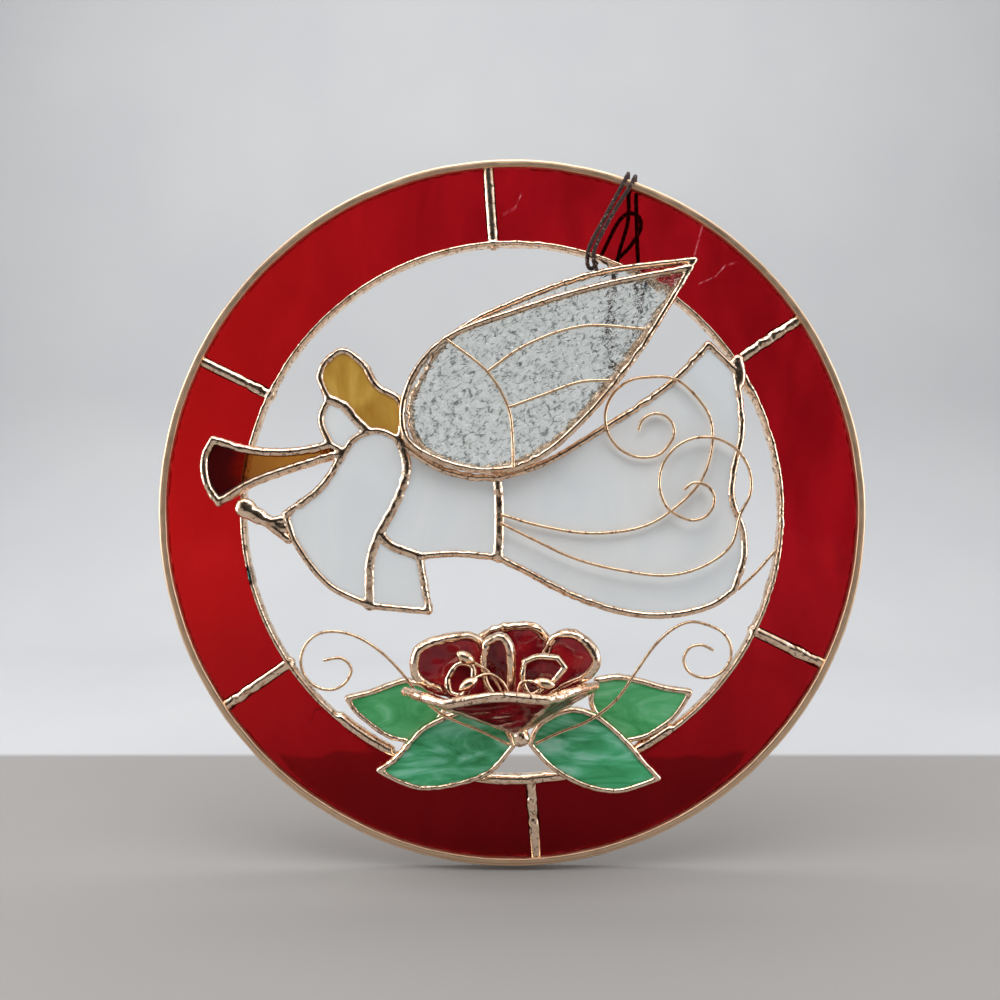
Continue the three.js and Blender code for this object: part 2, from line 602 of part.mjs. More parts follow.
function makeCup() {
  const foot = toVector(CUP_FOOT);
  const rod = (points) => tube(points, PETAL_EDGE_WIDTH, CUP_SIDES, BEAD_TURN_DEG);
  const knob = (radius, point) => new THREE.SphereGeometry(radius, ROUND_SIDES, 6).translate(...point);
  const rims = CUP_PETALS.map((name, i) => {
    const [left, right] = [toVector(CUP_RIM[i]), toVector(CUP_RIM[i + 1])];
    const across = right.clone().sub(left).normalize();
    const front = across.clone().cross(left.clone().sub(foot)).normalize();
    const plane = new THREE.Matrix4().makeBasis(across, front.clone().cross(across), front).setPosition(foot);
    const toFlat = plane.clone().invert();
    const [flatLeft, flatRight] = [left, right].map((point) => point.clone().applyMatrix4(toFlat).toArray());
    const crown = [(flatLeft[0] + flatRight[0]) / 2, flatLeft[1] + CUP_BULGES[i]];
    const rim = [flatRight, crown, flatLeft];
    place(name, pane([[flatLeft, [0, 0]], [[0, 0], flatRight], rim], PETAL_EDGE_WIDTH).applyMatrix4(plane),
      ROSE_GLASS);
    return rod(rim.map((point) => toVector(point).applyMatrix4(plane).toArray()));
  });
  const seams = CUP_RIM.map((corner) => rod([corner, CUP_FOOT]));
  const knobs = CUP_RIM.map((corner) => knob(CUP_KNOB_RADIUS, corner));
  place("rose_cup_seams", joined([...rims, ...seams, ...knobs, knob(CUP_BLOB_RADIUS, CUP_BLOB)]), COPPER);
}

function makeStamens() {
  STAMENS.forEach((points, i) => {
    const tip = toVector(points.at(-1));
    const outwards = tip.clone().sub(toVector(points.at(-2))).normalize();
    const turn = new THREE.Quaternion().setFromUnitVectors(new THREE.Vector3(0, 1, 0), outwards);
    const bud = new THREE.SphereGeometry(1, 6, 5)
      .scale(BUD_RADIUS, BUD_LENGTH / 2, BUD_RADIUS)
      .applyQuaternion(turn)
      .translate(...tip.addScaledVector(outwards, -BUD_LENGTH / 2).toArray());
    place(`rose_stamen_${i + 1}`, joined([wire(points), bud]), COPPER);
  });
}

// The cord: a closed loop, folded round the band so that two strands lie side by side in front,
// and pulled through itself behind. The rest hangs behind the wing, where a knot closes it.
const CORD_ROUTE = [
  [46.7, 79, -5.2], [44.2, 57.4, -5.5], [42.9, 53.3, -5.6], [40, 52, -5.6], [37.1, 53.3, -5.6],
  [35.8, 57.4, -5.5], [36.2, 76, -5], [39.2, 94.4, -4.3], [42.4, 106.4, -4.3], [42.6, 117.1, -4.4],
  [42.4, 120.6, -3.3], [42, 122, 0], [41.3, 120.9, 3.3], [39.9, 118, 4.4], [34.4, 107.8, 4.1],
  [27.6, 94.8, 4.2], [26.9, 91.6, 3.5], [27.4, 89, 0.6], [29.2, 89, -2.8], [32, 93, -5.4],
  [40.2, 108.2, -7], [43.4, 110.4, -7], [46.9, 108.9, -7], [47.6, 104.9, -7], [44.2, 98.6, -7],
  [38.6, 92.8, -6.5], [34.2, 88, -3.4], [31.4, 86.8, -0.2], [29.6, 88.6, 2.8], [29, 92, 4.1],
  [30, 95.6, 4.2], [36.1, 107.1, 4.1], [42.5, 117.1, 4.4], [43.9, 120, 3.3], [44.6, 121, 0],
  [45, 119.6, -3.3], [45.3, 116.1, -4.4], [46, 96, -4.4], [46.6, 86.6, -5],
];
const KNOT_CENTRE = [46.7, 82.5, -5.2];
const KNOT_RADII = [2.5, 3, 2.2];

function makeCord() {
  place("hanging_cord", tube(CORD_ROUTE, CORD_DIAMETER, CORD_SIDES, CORD_TURN_DEG), CORD_BRAID);
  const knot = new THREE.SphereGeometry(1, ROUND_SIDES, 6).scale(...KNOT_RADII);
  place("cord_knot", knot.translate(...KNOT_CENTRE), CORD_BRAID);
}

makeRing();
makeAngel();
makeWings();
makeScrolls();
makeLeaves();
makeFlowerScrolls();
makePetals();
makeCup();
makeStamens();
makeCord();

const [hangingX, hangingY] = polar(RING_RADIUS, HANGING_ANGLE_DEG);
const upright = new THREE.Group();
panel.rotation.x = Math.PI / 2;
panel.position.set(-hangingX, 0, -hangingY);
upright.add(panel);

export default upright;
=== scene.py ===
"""The looks of a round stained glass panel: a ring of red glass in a copper hoop, with a flying angel
and, below it, a rose of glass petals on four leaves.

Every line is drawn as a glazier draws a panel, facing the viewer: x to the right, y up and z towards
the viewer, in millimetres, with the ring's centre at zero. The last step of each piece turns it
upright and moves it to its place round the origin, which is where the cord passes over the hoop.
"""

import math

import bpy
import numpy as np
from mathutils import Matrix, Vector, noise


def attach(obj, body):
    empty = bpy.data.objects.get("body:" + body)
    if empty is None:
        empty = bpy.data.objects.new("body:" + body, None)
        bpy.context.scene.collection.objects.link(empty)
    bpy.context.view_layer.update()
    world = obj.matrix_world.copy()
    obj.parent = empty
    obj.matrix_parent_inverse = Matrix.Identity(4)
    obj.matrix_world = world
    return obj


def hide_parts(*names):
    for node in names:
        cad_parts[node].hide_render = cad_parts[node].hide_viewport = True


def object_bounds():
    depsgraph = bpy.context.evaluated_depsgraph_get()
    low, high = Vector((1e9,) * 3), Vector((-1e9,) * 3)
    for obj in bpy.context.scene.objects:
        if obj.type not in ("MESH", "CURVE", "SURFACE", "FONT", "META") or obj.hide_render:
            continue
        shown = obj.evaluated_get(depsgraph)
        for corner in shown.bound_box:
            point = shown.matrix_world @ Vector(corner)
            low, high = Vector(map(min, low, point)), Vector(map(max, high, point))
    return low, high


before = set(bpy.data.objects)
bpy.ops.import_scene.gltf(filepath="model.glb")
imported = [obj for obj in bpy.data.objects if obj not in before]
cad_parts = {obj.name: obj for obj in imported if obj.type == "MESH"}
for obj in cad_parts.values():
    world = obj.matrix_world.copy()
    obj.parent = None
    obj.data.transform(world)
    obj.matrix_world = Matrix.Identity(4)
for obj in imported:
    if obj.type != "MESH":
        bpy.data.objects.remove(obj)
cad_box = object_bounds()

MM = 0.001

# Ring
RING_RADIUS = 127.0
HOOP_FACE = 3.1
HOOP_DEPTH = 6.0
INNER_EDGE_RADIUS = 97.0
INNER_EDGE_WIDTH = 2.2
INNER_EDGE_DEPTH = 5.0
DIVIDER_COUNT = 6
FIRST_DIVIDER_DEG = 94.0

# Glass, solder and wire
GLASS_THICKNESS = 3.0
GAP = 0.3
BEAD_DEPTH = 4.4
EDGE_WIDTH = 2.8
SEAM_WIDTH = 4.2
WING_EDGE_WIDTH = 2.4
LEAF_EDGE_WIDTH = 2.1
PETAL_EDGE_WIDTH = 3.2
INNER_PETAL_EDGE_WIDTH = 2.3
WIRE_DIAMETER = 1.1

# How far each layer stands in front of the ring's middle plane
ANGEL_LAYER = INNER_EDGE_DEPTH / 2 + GAP + BEAD_DEPTH / 2
FRONT_WING_LAYER = ANGEL_LAYER + BEAD_DEPTH + GAP
LOWER_LEAF_LAYER = ANGEL_LAYER
UPPER_LEAF_LAYER = LOWER_LEAF_LAYER - BEAD_DEPTH - GAP
ON_A_BEAD = BEAD_DEPTH / 2 + GAP + WIRE_DIAMETER / 2
WING_WIRE_LAYER = FRONT_WING_LAYER + ON_A_BEAD
SCROLL_LAYER = ANGEL_LAYER + ON_A_BEAD
CROSSING_SCROLL_LAYER = SCROLL_LAYER + WIRE_DIAMETER + GAP
FLOWER_WIRE_LAYER = LOWER_LEAF_LAYER + ON_A_BEAD
ON_THE_RING_LAYER = INNER_EDGE_DEPTH / 2 + GAP + WIRE_DIAMETER / 2

# Cord, and where it passes over the hoop
CORD_DIAMETER = 1.6
HANGING_ANGLE_DEG = 69.2



def polar(radius, degrees):
    angle = math.radians(degrees)
    return (radius * math.cos(angle), radius * math.sin(angle))


HANGING_POINT = polar(RING_RADIUS, HANGING_ANGLE_DEG)

# From the drawing to the part's frame
UPRIGHT = Matrix.Scale(MM, 4) @ Matrix(((1, 0, 0, -HANGING_POINT[0]),
                                        (0, 0, -1, 0),
                                        (0, 1, 0, -HANGING_POINT[1]),
                                        (0, 0, 0, 1)))

# Camera

CAMERA_FROM_CENTRE = (-4.34, 4.52, 289.3)
SENSOR_WIDTH = 36.0
LENS = 28.8
NEAREST_SEEN = 0.01


def make_camera():
    data = bpy.data.cameras.new("camera")
    data.sensor_width = SENSOR_WIDTH
    data.lens = LENS
    data.clip_start = NEAREST_SEEN
    camera = bpy.data.objects.new("camera", data)
    camera.location = UPRIGHT @ Vector(CAMERA_FROM_CENTRE)
    camera.rotation_euler = (math.pi / 2, 0, 0)
    bpy.context.collection.objects.link(camera)
    bpy.context.scene.camera = camera


make_camera()

# Points and lines

SPLINE_STEPS = 24


def curl(centre, from_radius, to_radius, from_deg, to_deg, count):
    """Points along a curl: its radius changes while it turns from one angle to another."""
    points = []
    for i in range(count):
        t = i / (count - 1)
        x, y = polar(from_radius + (to_radius - from_radius) * t, from_deg + (to_deg - from_deg) * t)
        points.append((centre[0] + x, centre[1] + y))
    return points


def with_depth(points, z=0.0):
    return np.array([(*p, z) if len(p) == 2 else tuple(p) for p in points], dtype=float)


def smooth(points, step):
    """Points at even steps along the smooth line through the given ones, a centripetal spline."""
    given = with_depth(points)
    if len(given) == 2:
        fine = given
    else:
        padded = np.vstack([2 * given[0] - given[1], given, 2 * given[-1] - given[-2]])
        gaps = np.sqrt(np.linalg.norm(np.diff(padded, axis=0), axis=1))
        t = np.linspace(0, 1, SPLINE_STEPS, endpoint=False)[:, None]
        spans = []
        for i in range(1, len(padded) - 2):
            p0, p1, p2, p3 = padded[i - 1:i + 3]
            d0, d1, d2 = gaps[i - 1:i + 2]
            leave = ((p1 - p0) / d0 - (p2 - p0) / (d0 + d1) + (p2 - p1) / d1) * d1
            arrive = ((p2 - p1) / d1 - (p3 - p1) / (d1 + d2) + (p3 - p2) / d2) * d1
            spans.append(p1 + leave * t + (3 * (p2 - p1) - 2 * leave - arrive) * t ** 2
                         + (2 * (p1 - p2) + leave + arrive) * t ** 3)
        fine = np.vstack([*spans, given[-1:]])
    along = np.concatenate([[0], np.cumsum(np.linalg.norm(np.diff(fine, axis=0), axis=1))])
    count = max(2, int(round(along[-1] / step)) + 1)
    stops = np.linspace(0, along[-1], count)
    return np.column_stack([np.interp(stops, along, fine[:, k]) for k in range(3)])


# Meshes

PANE_STEP = 0.8

# How far a normal points towards the viewer, or away, for its point to be on a pane's face
FACING = 0.9

# A smooth random height: how many waves make it up, and their lengths' shares of the one asked for
WAVE_COUNT = 9
WAVE_LENGTHS = (0.7, 1.5)


def object_of(name, mesh):
    piece = bpy.data.objects.new(name, mesh)
    bpy.context.collection.objects.link(piece)
    return piece


def mesh_of(name, points, faces):
    mesh = bpy.data.meshes.new(name)
    mesh.from_pydata([tuple(p) for p in points], [], faces)
    mesh.update()
    return mesh


def curves_of(name, lines, closed=False):
    """A curve object with one straight-stepped spline for each line."""
    data = bpy.data.curves.new(name, "CURVE")
    data.dimensions = "3D"
    for line in lines:
        spline = data.splines.new("POLY")
        spline.points.add(len(line) - 1)
        spline.points.foreach_set("co", np.column_stack([line, np.ones(len(line))]).ravel())
        spline.use_cyclic_u = closed
    return object_of(name, data)


def baked(piece, name):
    """The piece's evaluated shape as a plain mesh object of its own. The piece itself is removed."""
    graph = bpy.context.evaluated_depsgraph_get()
    graph.update()
    mesh = bpy.data.meshes.new_from_object(piece.evaluated_get(graph), depsgraph=graph)
    mesh.name = name
    bpy.data.objects.remove(piece)
    return object_of(name, mesh)


def joined(name, pieces):
    """One mesh object that holds the shapes of several, which are removed."""
    points, faces, base = [], [], 0
    for piece in pieces:
        points.append(coords_of(piece.data))
        faces += [[base + v for v in face.vertices] for face in piece.data.polygons]
        base += len(points[-1])
        bpy.data.objects.remove(piece)
    return object_of(name, mesh_of(name, np.vstack(points), faces))


def remeshed(piece, voxel):
    """The piece's closed shapes melted into one closed surface of small even faces."""
    modifier = piece.modifiers.new("melt", "REMESH")
    modifier.mode = "VOXEL"
    modifier.voxel_size = voxel
    return baked(piece, piece.name)


def coords_of(mesh):
    coords = np.empty(len(mesh.vertices) * 3)
    mesh.vertices.foreach_get("co", coords)
    return coords.reshape(-1, 3)


def eased(mesh, rounds):
    """Moves every point half way to the mean of its neighbours, to take away the small steps of a melt."""
    edges = np.empty(len(mesh.edges) * 2, dtype=int)
    mesh.edges.foreach_get("vertices", edges)
    edges = edges.reshape(-1, 2)
    coords = coords_of(mesh)
    count = np.bincount(edges.ravel(), minlength=len(coords))[:, None]
    for _ in range(rounds):
        total = np.zeros_like(coords)
        for k in range(3):
            total[:, k] = (np.bincount(edges[:, 0], coords[edges[:, 1], k], len(coords))
                           + np.bincount(edges[:, 1], coords[edges[:, 0], k], len(coords)))
        coords += 0.5 * (total / np.maximum(count, 1) - coords)
    mesh.vertices.foreach_set("co", coords.ravel())
    mesh.update()


def normals_of(mesh):
    normals = np.empty(len(mesh.vertices) * 3)
    mesh.vertex_normals.foreach_get("vector", normals)
    return normals.reshape(-1, 3)


def waves(coords, wavelength, seed):
    """A smooth random height between about -1 and 1 at each point: a sum of waves in all directions."""
    rng = np.random.default_rng(seed)
    heights = np.zeros(len(coords))
    for _ in range(WAVE_COUNT):
        direction = rng.normal(size=3)
        direction /= np.linalg.norm(direction)
        length = wavelength * rng.uniform(*WAVE_LENGTHS)
        heights += np.sin(coords @ direction * (2 * math.pi / length) + rng.uniform(0, 2 * math.pi))
    return heights / math.sqrt(WAVE_COUNT)


def pushed(mesh, heights):
    """Moves every point along its normal by its own height."""
    coords = coords_of(mesh) + normals_of(mesh) * heights[:, None]
    mesh.vertices.foreach_set("co", coords.ravel())
    mesh.update()


def shaded_smooth(mesh):
    mesh.polygons.foreach_set("use_smooth", [True] * len(mesh.polygons))
    mesh.update()


def settle(piece, slot, material, *nodes, local=Matrix.Identity(4)):
    """Puts a finished piece in its place: upright, on the body, in place of its plain nodes."""
    piece.data.transform(UPRIGHT @ local)
    inside = np.clip(coords_of(piece.data), cad_box[0], cad_box[1])
    piece.data.vertices.foreach_set("co", inside.ravel())
    if not piece.data.materials:
        piece.data.materials.append(material)
    shaded_smooth(piece.data)
    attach(piece, "root")
    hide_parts(*nodes)


# Node trees


class Nodes:
    """A node tree under construction."""

    def __init__(self, tree):
        self.tree = tree

    def link(self, source, target):
        self.tree.links.new(source, target)

    def node(self, kind, settings=None, **inputs):
        """A node with its settings, and its inputs linked or set: by name, or by number as i0, i1."""
        made = self.tree.nodes.new(kind)
        for key, value in (settings or {}).items():
            setattr(made, key, value)
        for label, source in inputs.items():
            numbered = label[0] == "i" and label[1:].isdigit()
            socket = made.inputs[int(label[1:]) if numbered else label.replace("_", " ")]
            if isinstance(source, bpy.types.NodeSocket):
                self.link(source, socket)
            else:
                socket.default_value = source
        return made

    def maths(self, operation, *values):
        """A number worked out from others."""
        inputs = {f"i{k}": value for k, value in enumerate(values)}
        return self.node("ShaderNodeMath", {"operation": operation}, **inputs).outputs[0]

    def vector(self, operation, *values, **named):
        """A vector worked out from others, or a measure of them."""
        inputs = {f"i{k}": value for k, value in enumerate(values)}
        made = self.node("ShaderNodeVectorMath", {"operation": operation}, **inputs, **named)
        return made.outputs["Value" if operation in ("LENGTH", "DOT_PRODUCT", "DISTANCE") else "Vector"]

    def ramp(self, source, stops):
        """A colour ramp from a list of (place, colour)."""
        made = self.node("ShaderNodeValToRGB", Fac=source)
        elements = made.color_ramp.elements
        while len(elements) < len(stops):
            elements.new(0.5)
        for element, (place, colour) in zip(elements, stops):
            element.position = place
            element.color = (*colour, 1)
        return made.outputs["Color"]

    def mix(self, factor, first, second, blend="MIX"):
        """Two colours mixed, each a colour of its own or another node's."""
        first, second = [(*value, 1) if isinstance(value, tuple) else value for value in (first, second)]
        settings = {"data_type": "RGBA", "blend_type": blend}
        return self.node("ShaderNodeMix", settings, i0=factor, i6=first, i7=second).outputs[2]


# Materials

GLASS_IOR = 1.5

# Leaves the depth out of a place in the drawing
FLAT = (1, 0, 1)


class Shader(Nodes):
    """A material under construction. A place in it is x, minus z and y of the drawing."""

    def __init__(self, name, **values):
        self.material = bpy.data.materials.new(name)
        self.material.use_nodes = True
        super().__init__(self.material.node_tree)
        self.surface = self.tree.nodes["Principled BSDF"]
        for label, value in values.items():
            self.surface.inputs[label.replace("_", " ")].default_value = value
        in_metres = self.node("ShaderNodeTexCoord").outputs["Object"]
        self.place = self.node("ShaderNodeMapping", Vector=in_metres, Scale=(1 / MM,) * 3,
                               Location=(HANGING_POINT[0], 0, HANGING_POINT[1])).outputs[0]

    def axis(self, letter):
        return self.node("ShaderNodeSeparateXYZ", Vector=self.place).outputs[letter]

    def noise(self, size_mm, detail=3.0, distortion=0.0, stretch=None):
        """A noise whose blotches are about size_mm wide."""
        place = self.vector("MULTIPLY", self.place, stretch) if stretch else self.place
        return self.node("ShaderNodeTexNoise", Vector=place, Scale=1 / size_mm, Detail=detail,
                         Distortion=distortion).outputs["Fac"]

    def spread(self, source, low, high, from_low=0.3, from_high=0.7):
        """The source's span, stretched to another span and cut off at its ends."""
        return self.node("ShaderNodeMapRange", Value=source, From_Min=from_low, From_Max=from_high,
                         To_Min=low, To_Max=high).outputs["Result"]

    def line_mask(self, lines, width_mm, dash_mm=None):
        """1 along straight lines of the drawing, broken into dashes if asked, and 0 elsewhere."""
        flat = self.vector("MULTIPLY", self.place, FLAT)
        nearest = None
        for (x0, y0), (x1, y1) in lines:
            span = Vector((x1 - x0, 0, y1 - y0))
            start = self.vector("SUBTRACT", flat, (x0, 0, y0))
            share = self.vector("DOT_PRODUCT", start, span / span.length_squared)
            held = self.node("ShaderNodeClamp", Value=share).outputs[0]
            distance = self.vector("DISTANCE", start, self.vector("SCALE", span, Scale=held))
            nearest = distance if nearest is None else self.maths("MINIMUM", nearest, distance)
        on_line = self.spread(nearest, 1.0, 0.0, 0.4 * width_mm, width_mm)
        if dash_mm is None:
            return on_line
        dashes = self.spread(self.noise(dash_mm, detail=2.0, stretch=FLAT), 0.0, 1.0, 0.42, 0.52)
        return self.maths("MULTIPLY", on_line, dashes)

    def colour(self, source):
        self.link(source, self.surface.inputs["Base Color"])

    def roughness(self, source):
        self.link(source, self.surface.inputs["Roughness"])

    def bump(self, source, height_mm, strength=1.0):
        made = self.node("ShaderNodeBump", Height=source, Strength=strength, Distance=height_mm * MM)
        self.link(made.outputs["Normal"], self.surface.inputs["Normal"])


# Copper plating: its bright, worn and dark colour, and its least and most roughness
PLATED = ((0.97, 0.74, 0.55), (0.76, 0.48, 0.31), (0.13, 0.07, 0.04), (0.07, 0.24))
DRAWN_WIRE = ((0.93, 0.68, 0.46), (0.78, 0.50, 0.31), (0.30, 0.16, 0.10), (0.14, 0.26))
HOOP_BANDS = [(0.35, (0.62, 0.40, 0.25)), (0.62, (0.90, 0.66, 0.46))]
HOOP_WORN = (0.62, 0.36, 0.22)

# The spot of verdigris on the ring's inner edge, in its black rim
VERDIGRIS = [
    ([((-95.3, -20.6), (-94.3, -25.0))], 2.0, (0.02, 0.014, 0.01)),
    ([((-95.1, -21.8), (-94.7, -23.6))], 1.2, (0.08, 0.24, 0.22)),
]

# Ruby glass: its colours, its painted light on the left and painted shade at the foot, and the lines of its
# cracks in the drawing, the pale ones with a painted glint
RED_STREAKS = [(0.35, (0.37, 0.005, 0.010)), (0.7, (0.52, 0.008, 0.014))]
# Painted light: the red lightened on the left, as if light shone through it there
RED_PAINTED_BACKLIGHT = (0.68, 0.011, 0.010)
# Painted shade: the red deepened at the foot of the ring
RED_PAINTED_SHADE = (0.20, 0.002, 0.004)
RED_SHINE = (0.25, 0.10, 0.10)
# Painted reflection: the pale glint along the edges of real cracks
RED_CRACK_PAINTED_GLINT = (0.90, 0.32, 0.34)
RED_DARK = (0.10, 0.002, 0.004)
CRACKS_WITH_PAINTED_GLINT = [
    ((68.7, 103.4), (65.1, 90.1)),
    ((67.6, 82.6), (73.4, 85.2)),
    ((73.4, 85.2), (77.2, 89.4)),
    ((77.2, 89.4), (80.9, 90.1)),
    ((3.2, 114.6), (1.2, 110.0)),
    ((1.2, 110.0), (-3.0, 107.6)),
]
DARK_CRACKS = [
    ((-70.9, -71), (-75.0, -82.0)),
    ((-75.0, -82.0), (-79.9, -92.6)),
    ((-63.5, -70.0), (-70.9, -71)),
]

# The trumpet's glass, from the bell's brown, which is painted shade, to amber, and between which x of the
# drawing it changes
TRUMPET_STOPS_WITH_PAINTED_SHADE = [(0.1, (0.10, 0.045, 0.055)), (0.35, (0.34, 0.11, 0.02)), (0.9, (0.50, 0.20, 0.03))]
TRUMPET_SHADE_FADE_X = (-104.0, -78.0)

# The hammered glass: how wide its chips are, and how its strokes wander, slant and stretch
CHIP_SIZE = 3.0
STROKE_WANDER = (1.8, 0.4, 1.8)
STROKE_SLANT_DEG = 32
STROKE_STRETCH = (1.7, 5.0, 0.56)
# The strokes' dark grey is painted shade in the creases where chips meet
STROKE_PAINTED_SHADE = (0.12, 0.14, 0.13)
CLEAR_MOTTLE = [(0.4, (0.86, 0.88, 0.85)), (0.56, (0.99, 0.995, 0.985))]

ROSE_STOPS = [(0.35, (0.17, 0.004, 0.010)), (0.7, (0.46, 0.016, 0.022))]
WHITE_STOPS = [(0.3, (0.80, 0.85, 0.88)), (0.65, (0.88, 0.905, 0.915))]
HAIR_STOPS = [(0.3, (0.44, 0.21, 0.028)), (0.55, (0.61, 0.35, 0.065)), (0.8, (0.74, 0.49, 0.13))]
UPPER_LEAF_STOPS = [(0.3, (0.03, 0.34, 0.09)), (0.55, (0.10, 0.50, 0.19)), (0.8, (0.26, 0.66, 0.38))]
LOWER_LEAF_STOPS = [(0.3, (0.015, 0.26, 0.075)), (0.46, (0.06, 0.45, 0.19)), (0.60, (0.18, 0.62, 0.38)),
                    (0.8, (0.46, 0.80, 0.64))]
CORD_STOPS = [(0.3, (0.014, 0.005, 0.004)), (0.7, (0.05, 0.018, 0.014))]
CORD_FLECK = (0.42, 0.27, 0.22)


def copper_material(name, bright, worn, dark, roughness, stains=()):
    """Copper plating: bright on its rubbed places, browner in blotches, with dark specks in clusters.

    Each stain is a list of lines in the drawing, how far it spreads from them and its colour.
    """
    shader = Shader(name, Metallic=1.0)
    plated = shader.ramp(shader.noise(2.6, detail=4.0, distortion=0.6), [(0.34, worn), (0.5, bright)])
    specks = shader.spread(shader.noise(1.3, detail=4.0, distortion=0.8), 0.0, 0.9, 0.56, 0.66)
    shade = shader.mix(specks, plated, dark)
    for lines, width, colour in stains:
        shade = shader.mix(shader.line_mask(lines, width), shade, colour)
    shader.colour(shade)
    shader.roughness(shader.spread(shader.noise(1.8), *roughness))
    shader.bump(shader.noise(1.0, detail=2.0), height_mm=0.05, strength=0.35)
    return shader.material


def hoop_material():
    """The hoop's rolled copper channel: satin, with fine lines that run round it."""
    shader = Shader("hoop_copper", Metallic=1.0)
    radius = shader.vector("LENGTH", shader.vector("MULTIPLY", shader.place, FLAT))
    lines = shader.node("ShaderNodeTexNoise", {"noise_dimensions": "1D"}, W=radius, Scale=2.2,
                        Detail=4.0).outputs["Fac"]
    worn = shader.spread(shader.noise(9.0, detail=4.0), 0.0, 0.5, 0.5, 0.75)
    shader.colour(shader.mix(worn, shader.ramp(lines, HOOP_BANDS), HOOP_WORN))
    shader.roughness(shader.spread(shader.noise(4.0), 0.34, 0.48))
    shader.bump(lines, height_mm=0.06, strength=0.5)
    return shader.material


def red_glass_material():
    """Ruby sheet glass with painted light that lightens it on the left and painted shade that deepens it at
    the foot, and the cracks it has collected, the pale ones with a painted glint.
    """
    shader = Shader("red_glass", IOR=GLASS_IOR, Roughness=0.03, Transmission_Weight=1.0,
                    Specular_Tint=(*RED_SHINE, 1))
    shade = shader.ramp(shader.noise(14.0, distortion=0.8, stretch=(1.0, 1.0, 0.4)), RED_STREAKS)
    # Painted light: lighter towards the left
    painted_light_leftwards = shader.spread(shader.axis("X"), 0.8, 0.0, -RING_RADIUS, -0.1 * RING_RADIUS)
    shade = shader.mix(painted_light_leftwards, shade, RED_PAINTED_BACKLIGHT)
    # Painted shade: darker towards the foot
    painted_shade_footwards = shader.spread(shader.axis("Z"), 0.8, 0.0, -INNER_EDGE_RADIUS, -0.15 * INNER_EDGE_RADIUS)
    shade = shader.mix(painted_shade_footwards, shade, RED_PAINTED_SHADE)
    # Painted reflection: a pale glint along the cracks
    shade = shader.mix(shader.line_mask(CRACKS_WITH_PAINTED_GLINT, 0.32, 1.6), shade, RED_CRACK_PAINTED_GLINT)
    shade = shader.mix(shader.line_mask(DARK_CRACKS, 0.22, 9.0), shade, RED_DARK)
    shader.colour(shade)
    shader.bump(shader.noise(9.0, detail=1.0), height_mm=0.05)
    return shader.material


def trumpet_glass_material():
    """Amber glass with painted shade that darkens it to brown in the bell."""
    shader = Shader("amber_glass", IOR=GLASS_IOR, Roughness=0.06, Transmission_Weight=1.0)
    # Painted shade: darker towards the bell
    along = shader.spread(shader.axis("X"), 0.0, 1.0, *TRUMPET_SHADE_FADE_X)
    streaks = shader.spread(shader.noise(8.0, distortion=0.8, stretch=(0.3, 1.0, 1.0)), -0.12, 0.12)
    shader.colour(shader.ramp(shader.maths("ADD", along, streaks), TRUMPET_STOPS_WITH_PAINTED_SHADE))
    shader.bump(shader.noise(9.0, detail=1.0), height_mm=0.05)
    return shader.material


def wing_glass_material():
    """Clear hammered glass: short dark strokes of painted shade where its chips meet, over a faint grey
    mottle.
    """
    shader = Shader("hammered_clear_glass", IOR=GLASS_IOR, Transmission_Weight=1.0)
    bent = shader.node("ShaderNodeTexNoise", Vector=shader.place, Scale=1 / CHIP_SIZE).outputs["Color"]
    slanted = shader.node("ShaderNodeMapping", {"vector_type": "TEXTURE"},
                          Vector=shader.vector("MULTIPLY_ADD", bent, STROKE_WANDER, shader.place),
                          Rotation=(0, -math.radians(STROKE_SLANT_DEG), 0), Scale=STROKE_STRETCH)
    chips = shader.node("ShaderNodeTexVoronoi", {"feature": "DISTANCE_TO_EDGE"}, Scale=1 / CHIP_SIZE,
                        Vector=slanted.outputs[0]).outputs["Distance"]
    # Painted shade: dark strokes along the creases between chips
    painted_shade_strokes = shader.spread(chips, 1.0, 0.0, 0.02, 0.10)
    broken = shader.spread(shader.noise(2.2, detail=2.0), 0.0, 1.0, 0.53, 0.61)
    mottle = shader.ramp(shader.noise(2.6, detail=2.0, distortion=1.4), CLEAR_MOTTLE)
    shader.colour(shader.mix(shader.maths("MULTIPLY", painted_shade_strokes, broken), mottle, STROKE_PAINTED_SHADE))
    shader.roughness(shader.spread(shader.noise(1.6, detail=2.0), 0.02, 0.08))
    shader.bump(shader.spread(chips, 0.0, 1.0, 0.0, 0.25), height_mm=0.16, strength=0.6)
    return shader.material


def rose_glass_material():
    """Dark red glass with a faintly rippled, glossy face."""
    shader = Shader("rose_glass", IOR=GLASS_IOR, Transmission_Weight=0.7)
    shader.colour(shader.ramp(shader.noise(9.0, distortion=0.5), ROSE_STOPS))
    shader.roughness(shader.spread(shader.noise(1.6, detail=2.0), 0.04, 0.14))
    shader.bump(shader.noise(2.4, detail=2.0), height_mm=0.18, strength=0.6)
    return shader.material


def opal_material(name, stops, size_mm, distortion, stretch):
    """Opal glass: swirls of colours in the sheet, under a glossy face."""
    shader = Shader(name, IOR=GLASS_IOR, Roughness=0.14)
    shader.colour(shader.ramp(shader.noise(size_mm, 4.0, distortion, stretch), stops))
    shader.bump(shader.noise(7.0, detail=2.0), height_mm=0.06, strength=0.6)
    return shader.material


def cord_material():
    """Braided dark brown cord with small light flecks, patterned along its own length."""
    shader = Shader("cord_braid", Roughness=0.85, Sheen_Weight=0.1)
    along = shader.node("ShaderNodeUVMap", {"uv_map": "braid"}).outputs["UV"]
    flecks = shader.node("ShaderNodeTexVoronoi", Vector=along, Scale=1.0).outputs["Distance"]
    shade = shader.ramp(shader.noise(0.6, detail=2.0), CORD_STOPS)
    shader.colour(shader.mix(shader.spread(flecks, 1.0, 0.0, 0.1, 0.3), shade, CORD_FLECK))
    shader.bump(shader.noise(0.25, detail=2.0), height_mm=0.05, strength=0.5)
    return shader.material


